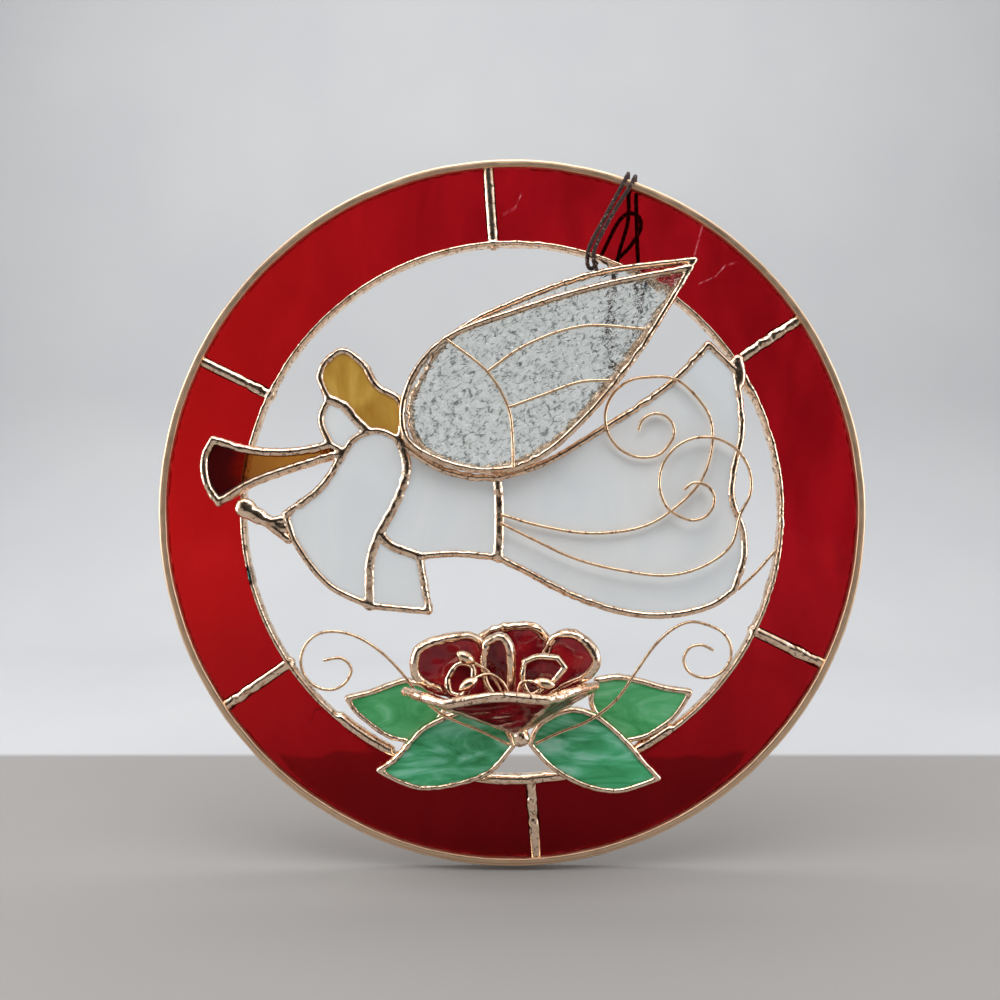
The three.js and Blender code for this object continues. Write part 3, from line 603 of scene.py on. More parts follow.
SOLDER = copper_material("plated_solder", *PLATED)
RING_SOLDER = copper_material("plated_solder_of_ring", *PLATED, VERDIGRIS)
WIRE = copper_material("copper_wire", *DRAWN_WIRE)
HOOP = hoop_material()
RED_GLASS = red_glass_material()
AMBER_GLASS = trumpet_glass_material()
CLEAR_GLASS = wing_glass_material()
ROSE_GLASS = rose_glass_material()
WHITE_GLASS = opal_material("white_opal_glass", WHITE_STOPS, 30.0, 1.0, (1, 1, 0.6))
HAIR_GLASS = opal_material("hair_opal_glass", HAIR_STOPS, 13.0, 1.2, (1, 1, 0.5))
UPPER_LEAF_GLASS = opal_material("upper_leaf_glass", UPPER_LEAF_STOPS, 12.0, 1.6, (0.6, 1, 1.4))
LOWER_LEAF_GLASS = opal_material("lower_leaf_glass", LOWER_LEAF_STOPS, 14.0, 2.2, (0.5, 1, 1.6))
CORD = cord_material()

# Geometry node trees: what follows a path


class Tree(Nodes):
    """A geometry node tree under construction, with named inputs."""

    def __init__(self, name, inputs):
        super().__init__(bpy.data.node_groups.new(name, "GeometryNodeTree"))
        interface = self.tree.interface
        interface.new_socket(name="Geometry", in_out="INPUT", socket_type="NodeSocketGeometry")
        self.sockets = {}
        for label, (kind, value) in inputs.items():
            socket = interface.new_socket(name=label, in_out="INPUT", socket_type=f"NodeSocket{kind}")
            socket.default_value = value
            self.sockets[label] = socket.identifier
        interface.new_socket(name="Geometry", in_out="OUTPUT", socket_type="NodeSocketGeometry")
        self.given = self.node("NodeGroupInput").outputs
        self.output = self.node("NodeGroupOutput")

    def evenly_stepped(self):
        """The given curves, with a point at every step."""
        return self.node("GeometryNodeResampleCurve", {"mode": "LENGTH"}, Curve=self.given["Geometry"],
                         Length=self.given["Step"]).outputs[0]

    def swelling(self, curve, scale, swell):
        """The curve with a radius that swells and thins along it."""
        place = self.node("GeometryNodeInputPosition").outputs[0]
        lumps = self.node("ShaderNodeTexNoise", {"noise_dimensions": "4D"}, Vector=place,
                          W=self.given["Seed"], Scale=scale, Detail=1.0).outputs[0]
        radius = self.maths("MULTIPLY_ADD", self.maths("SUBTRACT", lumps, 0.5), swell, 1.0)
        return self.node("GeometryNodeSetCurveRadius", Curve=curve, Radius=radius).outputs[0]

    def circle(self, steps, radius):
        return self.node("GeometryNodeCurvePrimitiveCircle", {"mode": "RADIUS"}, Resolution=steps,
                         Radius=radius).outputs[0]

    def swept(self, curve, section):
        return self.node("GeometryNodeCurveToMesh", Curve=curve, Profile_Curve=section,
                         Fill_Caps=True).outputs[0]

    def finish(self, geometry, material):
        real = self.node("GeometryNodeRealizeInstances", Geometry=geometry).outputs[0]
        done = self.node("GeometryNodeSetMaterial", Geometry=real, Material=material).outputs[0]
        self.link(done, self.output.inputs["Geometry"])

    def apply(self, piece, name, **values):
        """The tree's result on a piece, as a plain mesh object."""
        modifier = piece.modifiers.new(self.tree.name, "NODES")
        modifier.node_group = self.tree
        for label, value in values.items():
            modifier[self.sockets[label.replace("_", " ")]] = value
        return baked(piece, name)


def make_bead_tree():
    """Solder along curves: a rounded section that swells and thins, with a round drop at each end."""
    tree = Tree("bead along a seam", {
        "Width": ("Float", EDGE_WIDTH), "Depth": ("Float", BEAD_DEPTH), "Step": ("Float", 0.6),
        "Swell": ("Float", 0.1), "Swell Length": ("Float", 3.0), "Sides": ("Int", 16), "Seed": ("Int", 0),
    })
    width, depth = tree.given["Width"], tree.given["Depth"]
    even = tree.evenly_stepped()
    upright = tree.node("GeometryNodeSetCurveNormal", {"mode": "Z_UP"}, Curve=even).outputs[0]
    swell_scale = tree.maths("DIVIDE", 1.0, tree.given["Swell Length"])
    thick = tree.swelling(upright, swell_scale, tree.given["Swell"])
    size = tree.node("ShaderNodeCombineXYZ", X=width, Y=depth, Z=1.0).outputs[0]
    section = tree.node("GeometryNodeTransform", Geometry=tree.circle(tree.given["Sides"], 0.5), Scale=size)
    swept = tree.swept(thick, section.outputs[0])
    ends = tree.node("GeometryNodeCurveEndpointSelection").outputs[0]
    ball = tree.node("GeometryNodeMeshUVSphere", Segments=16, Rings=10, Radius=0.5).outputs[0]
    drop_size = tree.node("ShaderNodeCombineXYZ", X=width, Y=width, Z=depth).outputs[0]
    drops = tree.node("GeometryNodeInstanceOnPoints", Points=even, Selection=ends, Instance=ball,
                      Scale=drop_size).outputs[0]
    both = tree.node("GeometryNodeJoinGeometry")
    for part in (swept, drops):
        tree.link(part, both.inputs[0])
    tree.finish(both.outputs[0], SOLDER)
    return tree


def make_wire_tree():
    """Round wire along a curve, with flat ends and a faint unevenness."""
    tree = Tree("wire along a curve", {
        "Diameter": ("Float", WIRE_DIAMETER), "Step": ("Float", 0.5), "Unevenness": ("Float", 0.06),
        "Sides": ("Int", 12), "Seed": ("Int", 0),
    })
    thick = tree.swelling(tree.evenly_stepped(), 0.3, tree.given["Unevenness"])
    section = tree.circle(tree.given["Sides"], tree.maths("MULTIPLY", tree.given["Diameter"], 0.5))
    tree.finish(tree.swept(thick, section), WIRE)
    return tree


def make_hoop_tree():
    """A closed section, given as a curve, swept round a circle."""
    tree = Tree("section round a circle", {"Radius": ("Float", RING_RADIUS), "Steps": ("Int", 480)})
    circle = tree.circle(tree.given["Steps"], tree.given["Radius"])
    tree.finish(tree.swept(circle, tree.given["Geometry"]), HOOP)
    return tree


BEAD_TREE = make_bead_tree()
WIRE_TREE = make_wire_tree()
HOOP_TREE = make_hoop_tree()

# Solder: how fine its melt is, how high and long its lumps and its grain are, and what share of
# their height shows in its calm and in its rough stretches
SOLDER_VOXEL = 0.45
SOLDER_FULLNESS = 0.12
LUMP_HEIGHT = 0.15
LUMP_LENGTH = 4.2
GRAIN_HEIGHT = 0.05
GRAIN_LENGTH = 1.6
STRETCH_LENGTH = 26.0
MEAN_ROUGHNESS = 0.45
CALM_SHARE = 0.25
ROUGH_SHARE = 1.1


def solder(name, runs, seed, voxel=SOLDER_VOXEL, swell=0.12, lumps=1.0):
    """One soldered piece: runs of solder, each (lines, width, depth), melted into one another.

    It is lumpy in some stretches and nearly smooth in others, as the iron left it.
    """
    pieces = []
    for i, (lines, width, depth) in enumerate(runs):
        curves = curves_of(f"{name}_run", [smooth(line, 0.6) for line in lines])
        pieces.append(BEAD_TREE.apply(curves, f"{name}_run", Width=width, Depth=depth, Swell=swell,
                                      Seed=seed + i))
    piece = remeshed(joined(name, pieces), voxel)
    eased(piece.data, 3)
    coords = coords_of(piece.data)
    stretches = MEAN_ROUGHNESS + waves(coords, STRETCH_LENGTH, seed + 90)
    rough = np.clip(stretches, CALM_SHARE, ROUGH_SHARE) * lumps
    heights = rough * (LUMP_HEIGHT * waves(coords, LUMP_LENGTH, seed)
                       + GRAIN_HEIGHT * waves(coords, GRAIN_LENGTH, seed + 50))
    pushed(piece.data, SOLDER_FULLNESS + heights)
    return piece


def pane(name, lines, voxel, wave, wave_length, seed):
    """A sheet of glass cut to an outline, with a slow wave in its two faces."""
    outline = np.vstack([smooth(line, PANE_STEP)[:-1] for line in lines])
    count = len(outline)
    half = [0, 0, GLASS_THICKNESS / 2]
    sides = [(i, (i + 1) % count, count + (i + 1) % count, count + i) for i in range(count)]
    faces = [tuple(reversed(range(count))), tuple(range(count, 2 * count)), *sides]
    plate = mesh_of(name, np.vstack([outline - half, outline + half]), faces)
    piece = remeshed(object_of(name, plate), voxel)
    face = np.abs(normals_of(piece.data)[:, 2]) > FACING
    pushed(piece.data, np.where(face, wave * waves(coords_of(piece.data), wave_length, seed), 0))
    return piece


def edged_pane(node, lines, slot, glass, place, sheet_look, edge_width, edge_seed, **edge_look):
    """A pane and its own soldered edge, which are two pieces."""
    sheet = pane(f"{node}_sheet", lines, *sheet_look)
    if glass is CLEAR_GLASS:
        hammered(sheet.data, sheet_look[-1])
    settle(sheet, slot, glass, f"{node}_glass", local=place)
    edge = solder(f"{node}_solder", [(lines, edge_width, BEAD_DEPTH)], edge_seed, **edge_look)
    settle(edge, "copper", SOLDER, f"{node}_edge", local=place)


# The ring

HOOP_INNER_RADIUS = RING_RADIUS - HOOP_FACE
HOOP_SECTION_POINTS = 28

# How square the hoop's section is outside, inside and across its depth: at 1 it is round
OUTER_POWER = 0.55
INNER_POWER = 0.3
DEPTH_POWER = 0.6

# The hoop's dents: how deep, about how long, and their seed
HOOP_DENTS = [(0.12, 22.0, 5), (0.05, 7.0, 6)]

# Where the inner edge carries more solder, under the leaves' edges and round the lowest divider:
# each radius, start and end in degrees
RING_JOINTS = [(96.2, -130, -117), (96.2, -64, -54), (96, -95, -79), (96.6, 27, 34)]
RING_JOINT_WIDTH = 3.2
INTO_THE_HOOP = 0.6
DIVIDER_INTO_THE_HOOP = 0.4


def hoop_section():
    """The hoop's rounded channel, as distances from its own middle and towards the viewer."""
    points = []
    for angle in 2 * math.pi * np.arange(HOOP_SECTION_POINTS) / HOOP_SECTION_POINTS:
        x, y = math.cos(angle), math.sin(angle)
        power = OUTER_POWER if x > 0 else INNER_POWER
        points.append((math.copysign(abs(x) ** power, x) * HOOP_FACE / 2,
                       math.copysign(abs(y) ** DEPTH_POWER, y) * HOOP_DEPTH / 2))
    return points


def make_hoop():
    section = curves_of("hoop_section", [with_depth(hoop_section())], closed=True)
    piece = HOOP_TREE.apply(section, "copper_hoop", Radius=RING_RADIUS - HOOP_FACE / 2)
    coords = coords_of(piece.data)
    inwards = -coords / np.linalg.norm(coords[:, :2], axis=1)[:, None] * [1, 1, 0]
    dents = sum(depth * np.clip(waves(coords, length, seed), 0, 1) for depth, length, seed in HOOP_DENTS)
    piece.data.vertices.foreach_set("co", (coords + inwards * dents[:, None]).ravel())
    settle(piece, "copper", HOOP, "ring_hoop")


def divider_angle(i):
    return FIRST_DIVIDER_DEG - i * 360 / DIVIDER_COUNT


def make_ring_seams():
    circle = [polar(INNER_EDGE_RADIUS, degrees) for degrees in range(0, 361, 3)]
    ends = (INNER_EDGE_RADIUS, HOOP_INNER_RADIUS + DIVIDER_INTO_THE_HOOP)
    dividers = [[polar(radius, divider_angle(i)) for radius in ends] for i in range(DIVIDER_COUNT)]
    joints = [[polar(radius, degrees) for degrees in np.linspace(start, end, 5)]
              for radius, start, end in RING_JOINTS]
    piece = solder("ring_solder", [([circle], INNER_EDGE_WIDTH, INNER_EDGE_DEPTH),
                                   (joints, RING_JOINT_WIDTH, INNER_EDGE_DEPTH),
                                   (dividers, SEAM_WIDTH, BEAD_DEPTH)], 11)
    settle(piece, "copper", RING_SOLDER, "ring_seams")


def make_ring_glass():
    for i in range(DIVIDER_COUNT):
        degrees = np.linspace(divider_angle(i), divider_angle(i + 1), 21)
        inner = [polar(INNER_EDGE_RADIUS, d) for d in degrees]
        outer = [polar(HOOP_INNER_RADIUS + INTO_THE_HOOP, d) for d in reversed(degrees)]
        lines = [inner, [inner[-1], outer[0]], outer, [outer[-1], inner[0]]]
        piece = pane(f"red_sheet_{i + 1}", lines, 1.2, 0.05, 16.0, 20 + i)
        settle(piece, "red_glass", RED_GLASS, f"ring_glass_{i + 1}")


# The angel, drawn as the lines along which its glass was cut

BELL_TOP = (-105.9, 25.8)
BELL_FOOT = (-104.1, 3.5)
FACE_FOOT = (-64.4, 24.1)
SLEEVE_TOP = (-59.3, 21.6)
BROW = (-65.1, 40.3)
NAPE = (-51, 28.8)
HAIR_END = (-39.6, 25.4)
CUFF = (-80, -0.5)
SLEEVE_TIP = (-50.6, -32.8)
ARMPIT = (-47.2, -7.4)
REAR_SLEEVE_TOP = (-33, -15.3)
REAR_SLEEVE_TIP = (-29.6, -34.9)
WAIST_TOP = (-5, 12.3)
WAIST_FOOT = (-5, -15.7)
SKIRT_TOP = (69.5, 59.6)
HEM_TOP = (79.1, 50)
HEM_FOOT = (78.4, -27.4)

ANGEL_LINES = {
    "bell_mouth": [BELL_TOP, (-108.5, 21), (-109.2, 15.6), (-107.5, 9), BELL_FOOT],
    "trumpet_under": [BELL_FOOT, (-92.8, 10.4), (-77.1, 16.2), SLEEVE_TOP],
    "sleeve_front": [SLEEVE_TOP, (-67.5, 9.1), CUFF],
    "cuff": [CUFF, (-77.1, -9.7), (-65.1, -25.3), SLEEVE_TIP],
    "rear_sleeve_hem": [SLEEVE_TIP, REAR_SLEEVE_TIP],
    "rear_sleeve_back": [REAR_SLEEVE_TIP, REAR_SLEEVE_TOP],
    "belly": [REAR_SLEEVE_TOP, (-20, -14.4), WAIST_FOOT],
    "skirt_front": [WAIST_FOOT, (6.3, -21.4), (21, -29), (38.3, -34.8), (54, -36.2), (70.2, -32.8),
                    HEM_FOOT],
    "hem": [HEM_FOOT, (82, -15), (81.5, -6), (77.8, 4.5), (78, 13), (81.2, 29.4), HEM_TOP],
    "skirt_corner": [HEM_TOP, SKIRT_TOP],
    "skirt_back": [SKIRT_TOP, (57, 46.6), (45.4, 38), (33.3, 30.4), (11.6, 17.6), WAIST_TOP],
    "shoulder": [WAIST_TOP, (-15, 12.6), (-25.6, 15.6), (-33.5, 20.2), HAIR_END],
    "hair_back": [HAIR_END, (-39.8, 39.4), (-48, 44.8), (-53, 52.8), (-60.5, 57.2), (-68, 49.5), BROW],
    "face_front": [BROW, (-67.7, 33), FACE_FOOT],
    "trumpet_over": [FACE_FOOT, (-77.1, 21.6), (-92, 22), BELL_TOP],
    "chin": [FACE_FOOT, SLEEVE_TOP],
    "hairline": [NAPE, (-55.5, 33.2), (-60.1, 38.2), BROW],
    "hair_foot": [HAIR_END, (-42.6, 27.3), (-46.6, 28.9), NAPE],
    "collar": [SLEEVE_TOP, (-56.2, 25.9), NAPE],
    "sleeve_back_upper": [HAIR_END, (-37.4, 16.3), (-40.2, 5.5), ARMPIT],
    "sleeve_back_lower": [ARMPIT, (-50.1, -16.4), SLEEVE_TIP],
    "rear_sleeve_top": [ARMPIT, (-43, -11.4), REAR_SLEEVE_TOP],
    "waist": [WAIST_TOP, (-4.6, -2.6), WAIST_FOOT],
}
WIDE_SEAMS = ["hairline", "sleeve_back_upper", "sleeve_back_lower", "rear_sleeve_top", "waist"]
TRUMPET_LINES = ["bell_mouth", "trumpet_under", "trumpet_over", "sleeve_front"]
TRUMPET_EDGE_WIDTH = 3.3

# Each pane's lines in anticlockwise order; one named with a minus is followed backwards
ANGEL_PANES = {
    "trumpet_glass": ("amber_glass", AMBER_GLASS, "bell_mouth trumpet_under -chin trumpet_over"),
    "face_glass": ("white_glass", WHITE_GLASS, "face_front chin collar hairline"),
    "hair_glass": ("hair_glass", HAIR_GLASS, "-hairline -hair_foot hair_back"),
    "front_sleeve_glass": ("white_glass", WHITE_GLASS,
                           "sleeve_front cuff -sleeve_back_lower -sleeve_back_upper hair_foot -collar"),
    "rear_sleeve_glass": ("white_glass", WHITE_GLASS,
                          "sleeve_back_lower rear_sleeve_hem rear_sleeve_back -rear_sleeve_top"),
    "torso_glass": ("white_glass", WHITE_GLASS, "sleeve_back_upper rear_sleeve_top belly -waist shoulder"),
    "skirt_glass": ("white_glass", WHITE_GLASS, "waist skirt_front hem skirt_corner skirt_back"),
}

# The hand: a round knob on a wrist that widens into the cuff, each (line, width, depth)
HAND = [
    ([(-95.0, 1.7), (-94.3, 1.3)], 7.2, 4.4),
    ([(-93.6, 0.6), (-89.6, -1.6)], 5.6, 4.3),
    ([(-90.6, -1.1), (-85.6, -3.6)], 4.6, 4.2),
    ([(-86.4, -3.4), (-81.6, -2.6)], 3.6, 4.2),
    ([(-86.4, -4.0), (-79.4, -9.4)], 3.4, 4.2),
    ([(-84.2, -3.8), (-81.4, -5.4)], 5.4, 4.2),
]
HAIR_KNOT = [(HAIR_END[0] - 0.4, HAIR_END[1]), (HAIR_END[0] + 1.3, HAIR_END[1] - 0.2)]
HAIR_KNOT_WIDTH = 4.8
SKIRT_JOINT = [(79.8, 54.2), (80.8, 50), (80.4, 46)]


def at_layer(z):
    return Matrix.Translation((0, 0, z))


def make_angel():
    lift = at_layer(ANGEL_LAYER)
    for seed, (node, (slot, material, names)) in enumerate(ANGEL_PANES.items()):
        lines = [ANGEL_LINES[n[1:]][::-1] if n.startswith("-") else ANGEL_LINES[n] for n in names.split()]
        piece = pane(f"sheet_of_{node}", lines, 0.9, 0.05, 18.0, 40 + seed)
        settle(piece, slot, material, node, local=lift)

    widths = {**dict.fromkeys(ANGEL_LINES, EDGE_WIDTH), **dict.fromkeys(WIDE_SEAMS, SEAM_WIDTH),
              **dict.fromkeys(TRUMPET_LINES, TRUMPET_EDGE_WIDTH)}
    runs = [([line for name, line in ANGEL_LINES.items() if widths[name] == width], width, BEAD_DEPTH)
            for width in (EDGE_WIDTH, SEAM_WIDTH, TRUMPET_EDGE_WIDTH)]
    runs.append(([HAIR_KNOT], HAIR_KNOT_WIDTH, BEAD_DEPTH))
    runs.append(([SKIRT_JOINT], SEAM_WIDTH, BEAD_DEPTH))
    settle(solder("angel_solder", runs, 31), "copper", SOLDER, "angel_seams", local=lift)

    hand = solder("solder_hand", [([line], width, depth) for line, width, depth in HAND], 33,
                  voxel=0.35, swell=0.04, lumps=0.4)
    settle(hand, "copper", SOLDER, "hand", local=lift)


# The wings

FRONT_WING_TIP = (62.1, 85.6)
FRONT_WING_HEEL = (0.9, 15.7)
FRONT_WING_LINES = [
    [FRONT_WING_TIP, (30.6, 79.2), (2.7, 70.9), (-23.2, 60.6), (-34, 49), (-38.4, 36), (-36.5, 25.5),
     (-25.3, 18.4), (-11.3, 15), FRONT_WING_HEEL],
    [FRONT_WING_HEEL, (11.4, 21), (20.8, 28.9), (31.3, 40), (44.6, 57.4), FRONT_WING_TIP],
]
REAR_WING_TIP = (64.6, 89.6)
REAR_WING_HEEL = (-3.6, 16.2)
REAR_WING_LINES = [
    [REAR_WING_TIP, (31.2, 85.1), (2.8, 75.5), (-20.5, 63.4), (-30.6, 50), (-35.7, 38), (-35, 28.6),
     (-28.6, 20.9), (-15, 16), REAR_WING_HEEL],
    [REAR_WING_HEEL, (8.6, 21.2), (18.8, 29), (29.4, 40.4), (43, 58.2), REAR_WING_TIP],
]
FEATHER_FORKS = [(-8.8, 48.9), (-1.5, 36.5)]
FEATHER_WIRES = [
    [(-22.7, 60), FEATHER_FORKS[0], FEATHER_FORKS[1], (0, 26), (0.2, 15.8)],
    [FEATHER_FORKS[0], (4.5, 58), (24, 64.6), (46, 63.6)],
    [FEATHER_FORKS[1], (10.9, 41), (23.4, 45.3), (34.4, 46)],
]

# Each wing: its lines, its layer, how fine its sheet is and its seed
WINGS = {
    "front_wing": (FRONT_WING_LINES, FRONT_WING_LAYER, 0.5, 51),
    "rear_wing": (REAR_WING_LINES, ANGEL_LAYER, 0.65, 61),
}

# The chips of the hammered faces. Their rows wander, and the back face's are not those of the front.
CHIP_TILT = 0.3
CHIP_WANDER = 0.5
CHIP_WANDER_SCALE = 0.8
CHIP_HEIGHT_LIMIT = 0.45
CREASE_WIDTH = 0.26
CREASE_DEPTH = 0.12
FRONT_FACE_SHIFT = 5.0
TILT_SCALE = 7.3


def hammered(mesh, seed):
    """Dents a sheet's faces into small tilted chips, with a sunk crease between them."""
    noise.seed_set(seed)
    coords = coords_of(mesh)
    normals = normals_of(mesh)
    heights = np.zeros(len(coords))
    for i in np.nonzero(np.abs(normals[:, 2]) > FACING)[0]:
        place = Vector(coords[i] / CHIP_SIZE)
        place.z = seed + (FRONT_FACE_SHIFT if coords[i][2] > 0 else 0.0)
        place += CHIP_WANDER * noise.noise_vector(place * CHIP_WANDER_SCALE)
        distances, centres = noise.voronoi(place)
        tilt = noise.noise_vector(centres[0] * TILT_SCALE)
        away = place - centres[0]
        edge = max(0.0, 1.0 - (distances[1] - distances[0]) / CREASE_WIDTH)
        heights[i] = 2 * CHIP_TILT * (tilt.x * away.x + tilt.y * away.y) - CREASE_DEPTH * edge
    pushed(mesh, np.clip(heights, -CHIP_HEIGHT_LIMIT, CHIP_HEIGHT_LIMIT))


def wires(name, lines, layer, node, seed):
    curves = curves_of(name, [smooth(with_depth(line, layer), 0.5) for line in lines])
    piece = WIRE_TREE.apply(curves, name, Diameter=WIRE_DIAMETER, Seed=seed)
    settle(piece, "wire", WIRE, node)


def make_wings():
    for node, (lines, layer, voxel, seed) in WINGS.items():
        edged_pane(node, lines, "clear_glass", CLEAR_GLASS, at_layer(layer), (voxel, 0.0, 14.0, seed),
                   WING_EDGE_WIDTH, seed + 1)
    wires("feather_wires", FEATHER_WIRES, WING_WIRE_LAYER, "front_wing_wires", 1)


# Scrolls of wire over the skirt, and the short wire that ties the hem to the ring

UPPER_SCROLL = [
    (-4, -0.6), (10, -4.6), (28, -7.2), (46.6, -4.6), (58, 2.4), (66.4, 11.4), (70.2, 23), (69.6, 33),
    (65.4, 40), (57.4, 46.9),
    *curl((46.8, 32.8), 15, 13.2, 85, 290, 8),
    *curl((50.5, 28.6), 6.5, 6.2, -45, 177, 7),
]
LOWER_SCROLL = [
    (-4, -3.6), (8, -9.6), (22, -16), (38.5, -20.2), (55, -21.8), (67.3, -18.4), (76.4, -11.4),
    *curl((67, 10.5), 16.8, 15.4, -40, 215, 10),
    *curl((63.3, 4.9), 7.6, 7.3, 240, 370, 5),
    *curl((63.3, 4.9), 6.6, 4.6, 405, 495, 3),
]
TIE_WIRE = [(80.6, -27.6), (87, -21.6), (94, -13.6)]


def make_scrolls():
    wires("upper_skirt_scroll", [UPPER_SCROLL], SCROLL_LAYER, "skirt_scroll_upper", 2)
    wires("lower_skirt_scroll", [LOWER_SCROLL], CROSSING_SCROLL_LAYER, "skirt_scroll_lower", 3)
    wires("hem_tie", [TIE_WIRE], ON_THE_RING_LAYER, "hem_tie_wire", 4)


# The flower: leaves, scrolls of wire, and a rose of petals that stand away from the panel

UPPER_LEAVES = {
    "leaf_upper_left": [
        [(-38.6, -60.4), (-44, -62.2), (-51.2, -64.9), (-59.5, -66.9)],
        [(-59.5, -66.9), (-55, -72.6), (-45.1, -80), (-36.8, -82.4)],
        [(-36.8, -82.4), (-29.5, -77.5), (-24, -70.5)],
        [(-24, -70.5), (-30.5, -63.2), (-38.6, -60.4)],
    ],
    "leaf_upper_right": [
        [(64.2, -64.6), (54.5, -63.2), (46.5, -60.9), (38.5, -59.4), (30.7, -60.4)],
        [(30.7, -60.4), (28.6, -68), (33.6, -76.5), (41, -82)],
        [(41, -82), (48.6, -80), (58, -73.6), (64.2, -64.6)],
    ],
}
LOWER_LEAVES = {
    "leaf_lower_left": [
        [(-24.2, -72.8), (-31.7, -76.8), (-36.6, -82), (-41.8, -87.6), (-47.4, -91.2)],
        [(-47.4, -91.2), (-36.4, -96.4), (-28.4, -97.3), (-17.5, -95.4), (-8, -91.6), (0.4, -82.4)],
        [(0.4, -82.4), (-2, -77.5), (-8.5, -72.6), (-16.5, -70.6), (-24.2, -72.8)],
    ],
    "leaf_lower_right": [
        [(30.4, -72.4), (22, -70), (14, -72.2), (8.5, -77), (6.6, -82)],
        [(6.6, -82), (13, -89), (20.8, -94.2), (28.4, -97.1), (37.3, -98.4), (51.9, -94)],
        [(51.9, -94), (46.4, -88.2), (41.6, -82.6), (35.6, -76.6), (30.4, -72.4)],
    ],
}
LEFT_SCROLL = [
    (-1.2, -81.5), (-11, -76.8), (-23.8, -71.4), (-32.7, -64.2), (-39, -56.4), (-46.8, -48.9), (-56, -43.6),
    *curl((-65, -53.5), 11.3, 9.7, 87, 280, 7),
    (-59.2, -60.3), (-57.5, -55.7), (-61, -52.1), (-67.4, -52.8),
]
RIGHT_SCROLL = [
    (8.2, -81.2), (16, -77.5), (27.1, -73), (36.6, -65.7), (44.4, -54.9), (50.4, -46.9), (57, -41.2),
    (63.6, -38.8),
    *curl((69, -49.8), 9.4, 9.2, 72, -130, 8),
    (61.3, -52.6), (63.4, -48.4), (67.6, -47.3), (71.9, -49.1),
]
FLOWER_WIRE_LEVEL_POINTS = 3
FLOWER_WIRE_FALL_POINTS = 6

# The rose's petals: where each stands, its turn about the upright and its lean towards the viewer,
# and the lines of its outline in its own plane
PETALS = {
    "rose_left": ((-4.3, -70.8, 10.4), 19, 0, [
        [(-30.6, 20.5), (-29.8, 16.4), (-25.5, 12.8), (-19.5, 9.9), (-10, 5.8), (-3.8, 3.4)],
        [(-3.8, 3.4), (-1, 8), (-4.2, 17.5), (-8.8, 27.5), (-19, 28.2), (-29, 25), (-30.6, 20.5)]]),
    "rose_right": ((6.9, -70.8, 9), -25, 0, [
        [(-0.4, 1.4), (12.4, 11.4), (20.8, 16.2), (23.6, 21), (21.6, 25.4), (15.2, 29.5), (8.4, 27.6),
         (5.6, 22.6)],
        [(5.6, 22.6), (1.6, 10), (-0.4, 1.4)]]),
    "rose_back": ((1.3, -70.5, 2.8), 0, 0, [
        [(-12.2, 26), (-9.6, 14), (-2, 0.6)],
        [(-2, 0.6), (5.4, 3), (9.6, 12), (12.4, 21), (10.8, 25.6), (6.4, 29.4), (-5.4, 29.2),
         (-12.2, 26)]]),
    "rose_centre": ((-1.3, -63.6, 19.5), -15, 0, [
        [(-8.8, 14.6), (-8, 6.6), (-3.6, 0.2)],
        [(-3.6, 0.2), (0, 4), (0.7, 12), (0, 19), (-2.6, 21.8), (-7.2, 19.8), (-8.8, 14.6)]]),
    "rose_inner_right": ((4.3, -59.4, 21.8), -9, -5, [
        [(-0.4, 9.6), (-0.7, 3), (1.6, -1.6)],
        [(1.6, -1.6), (8.4, 2.9), (13, 8.4)],
        [(13, 8.4), (10.6, 11.2)],
        [(10.6, 11.2), (4, 11.4), (-0.4, 9.6)]]),
    "rose_inner_left": ((-15.3, -60.4, 22.4), 5, -19, [
        [(-6.6, 5), (-5.6, 0.6), (-1.8, -0.6)],
        [(-1.8, -0.6), (1.6, 4), (1.8, 9.2), (-3.2, 9.8), (-6.6, 5)]]),
}

INNER_PETALS = ["rose_inner_right", "rose_inner_left"]
ROSE_SOLDER = {"voxel": 0.4, "swell": 0.3}

# The cup of three front petals, which lean out from one foot and share a rim
CUP_FOOT = (1.6, -76.3, 9.5)
CUP_RIM = [(-36.7, -61.5, 14), (-21.8, -61.6, 30), (11.5, -60.3, 30), (28.4, -59.5, 14)]
CUP_BULGES = [1.6, 4, 1.6]
CUP_PETALS = ["rose_front_left_glass", "rose_front_glass", "rose_front_right_glass"]
CUP_BLOB = (3, -78.4, 10.6)
CUP_BLOB_RADIUS = 3

STAMENS = [
    [(-3, -62, 24.6), (-5, -57, 24), (-8.6, -52.2, 23.4), (-12, -50.2, 23.2), (-18.6, -46.1, 24)],
    [(-0.6, -61.4, 25.3), (-3.4, -56, 24.6), (-7.6, -53, 25), (-11, -53.4, 26.4), (-17.5, -57.6, 28)],
    [(1.4, -60.6, 26.3), (2.6, -55.6, 26.4), (7.2, -54.9, 27.6), (13.4, -55.8, 29)],
]
BUD_LENGTH = 7.0

# A bud's thickness: from how far inside its two ends it is how wide
BUD_TAPER = [(0.08, 1.3), (0.2, 2.3), (0.32, 3.2), (0.44, 3.7)]


def make_leaves():
    for leaves, layer, glass in ((UPPER_LEAVES, UPPER_LEAF_LAYER, UPPER_LEAF_GLASS),
                                 (LOWER_LEAVES, LOWER_LEAF_LAYER, LOWER_LEAF_GLASS)):
        for seed, (node, lines) in enumerate(leaves.items()):
            edged_pane(node, lines, "leaf_glass", glass, at_layer(layer), (0.9, 0.05, 12.0, 70 + seed),
                       LEAF_EDGE_WIDTH, 75 + seed)


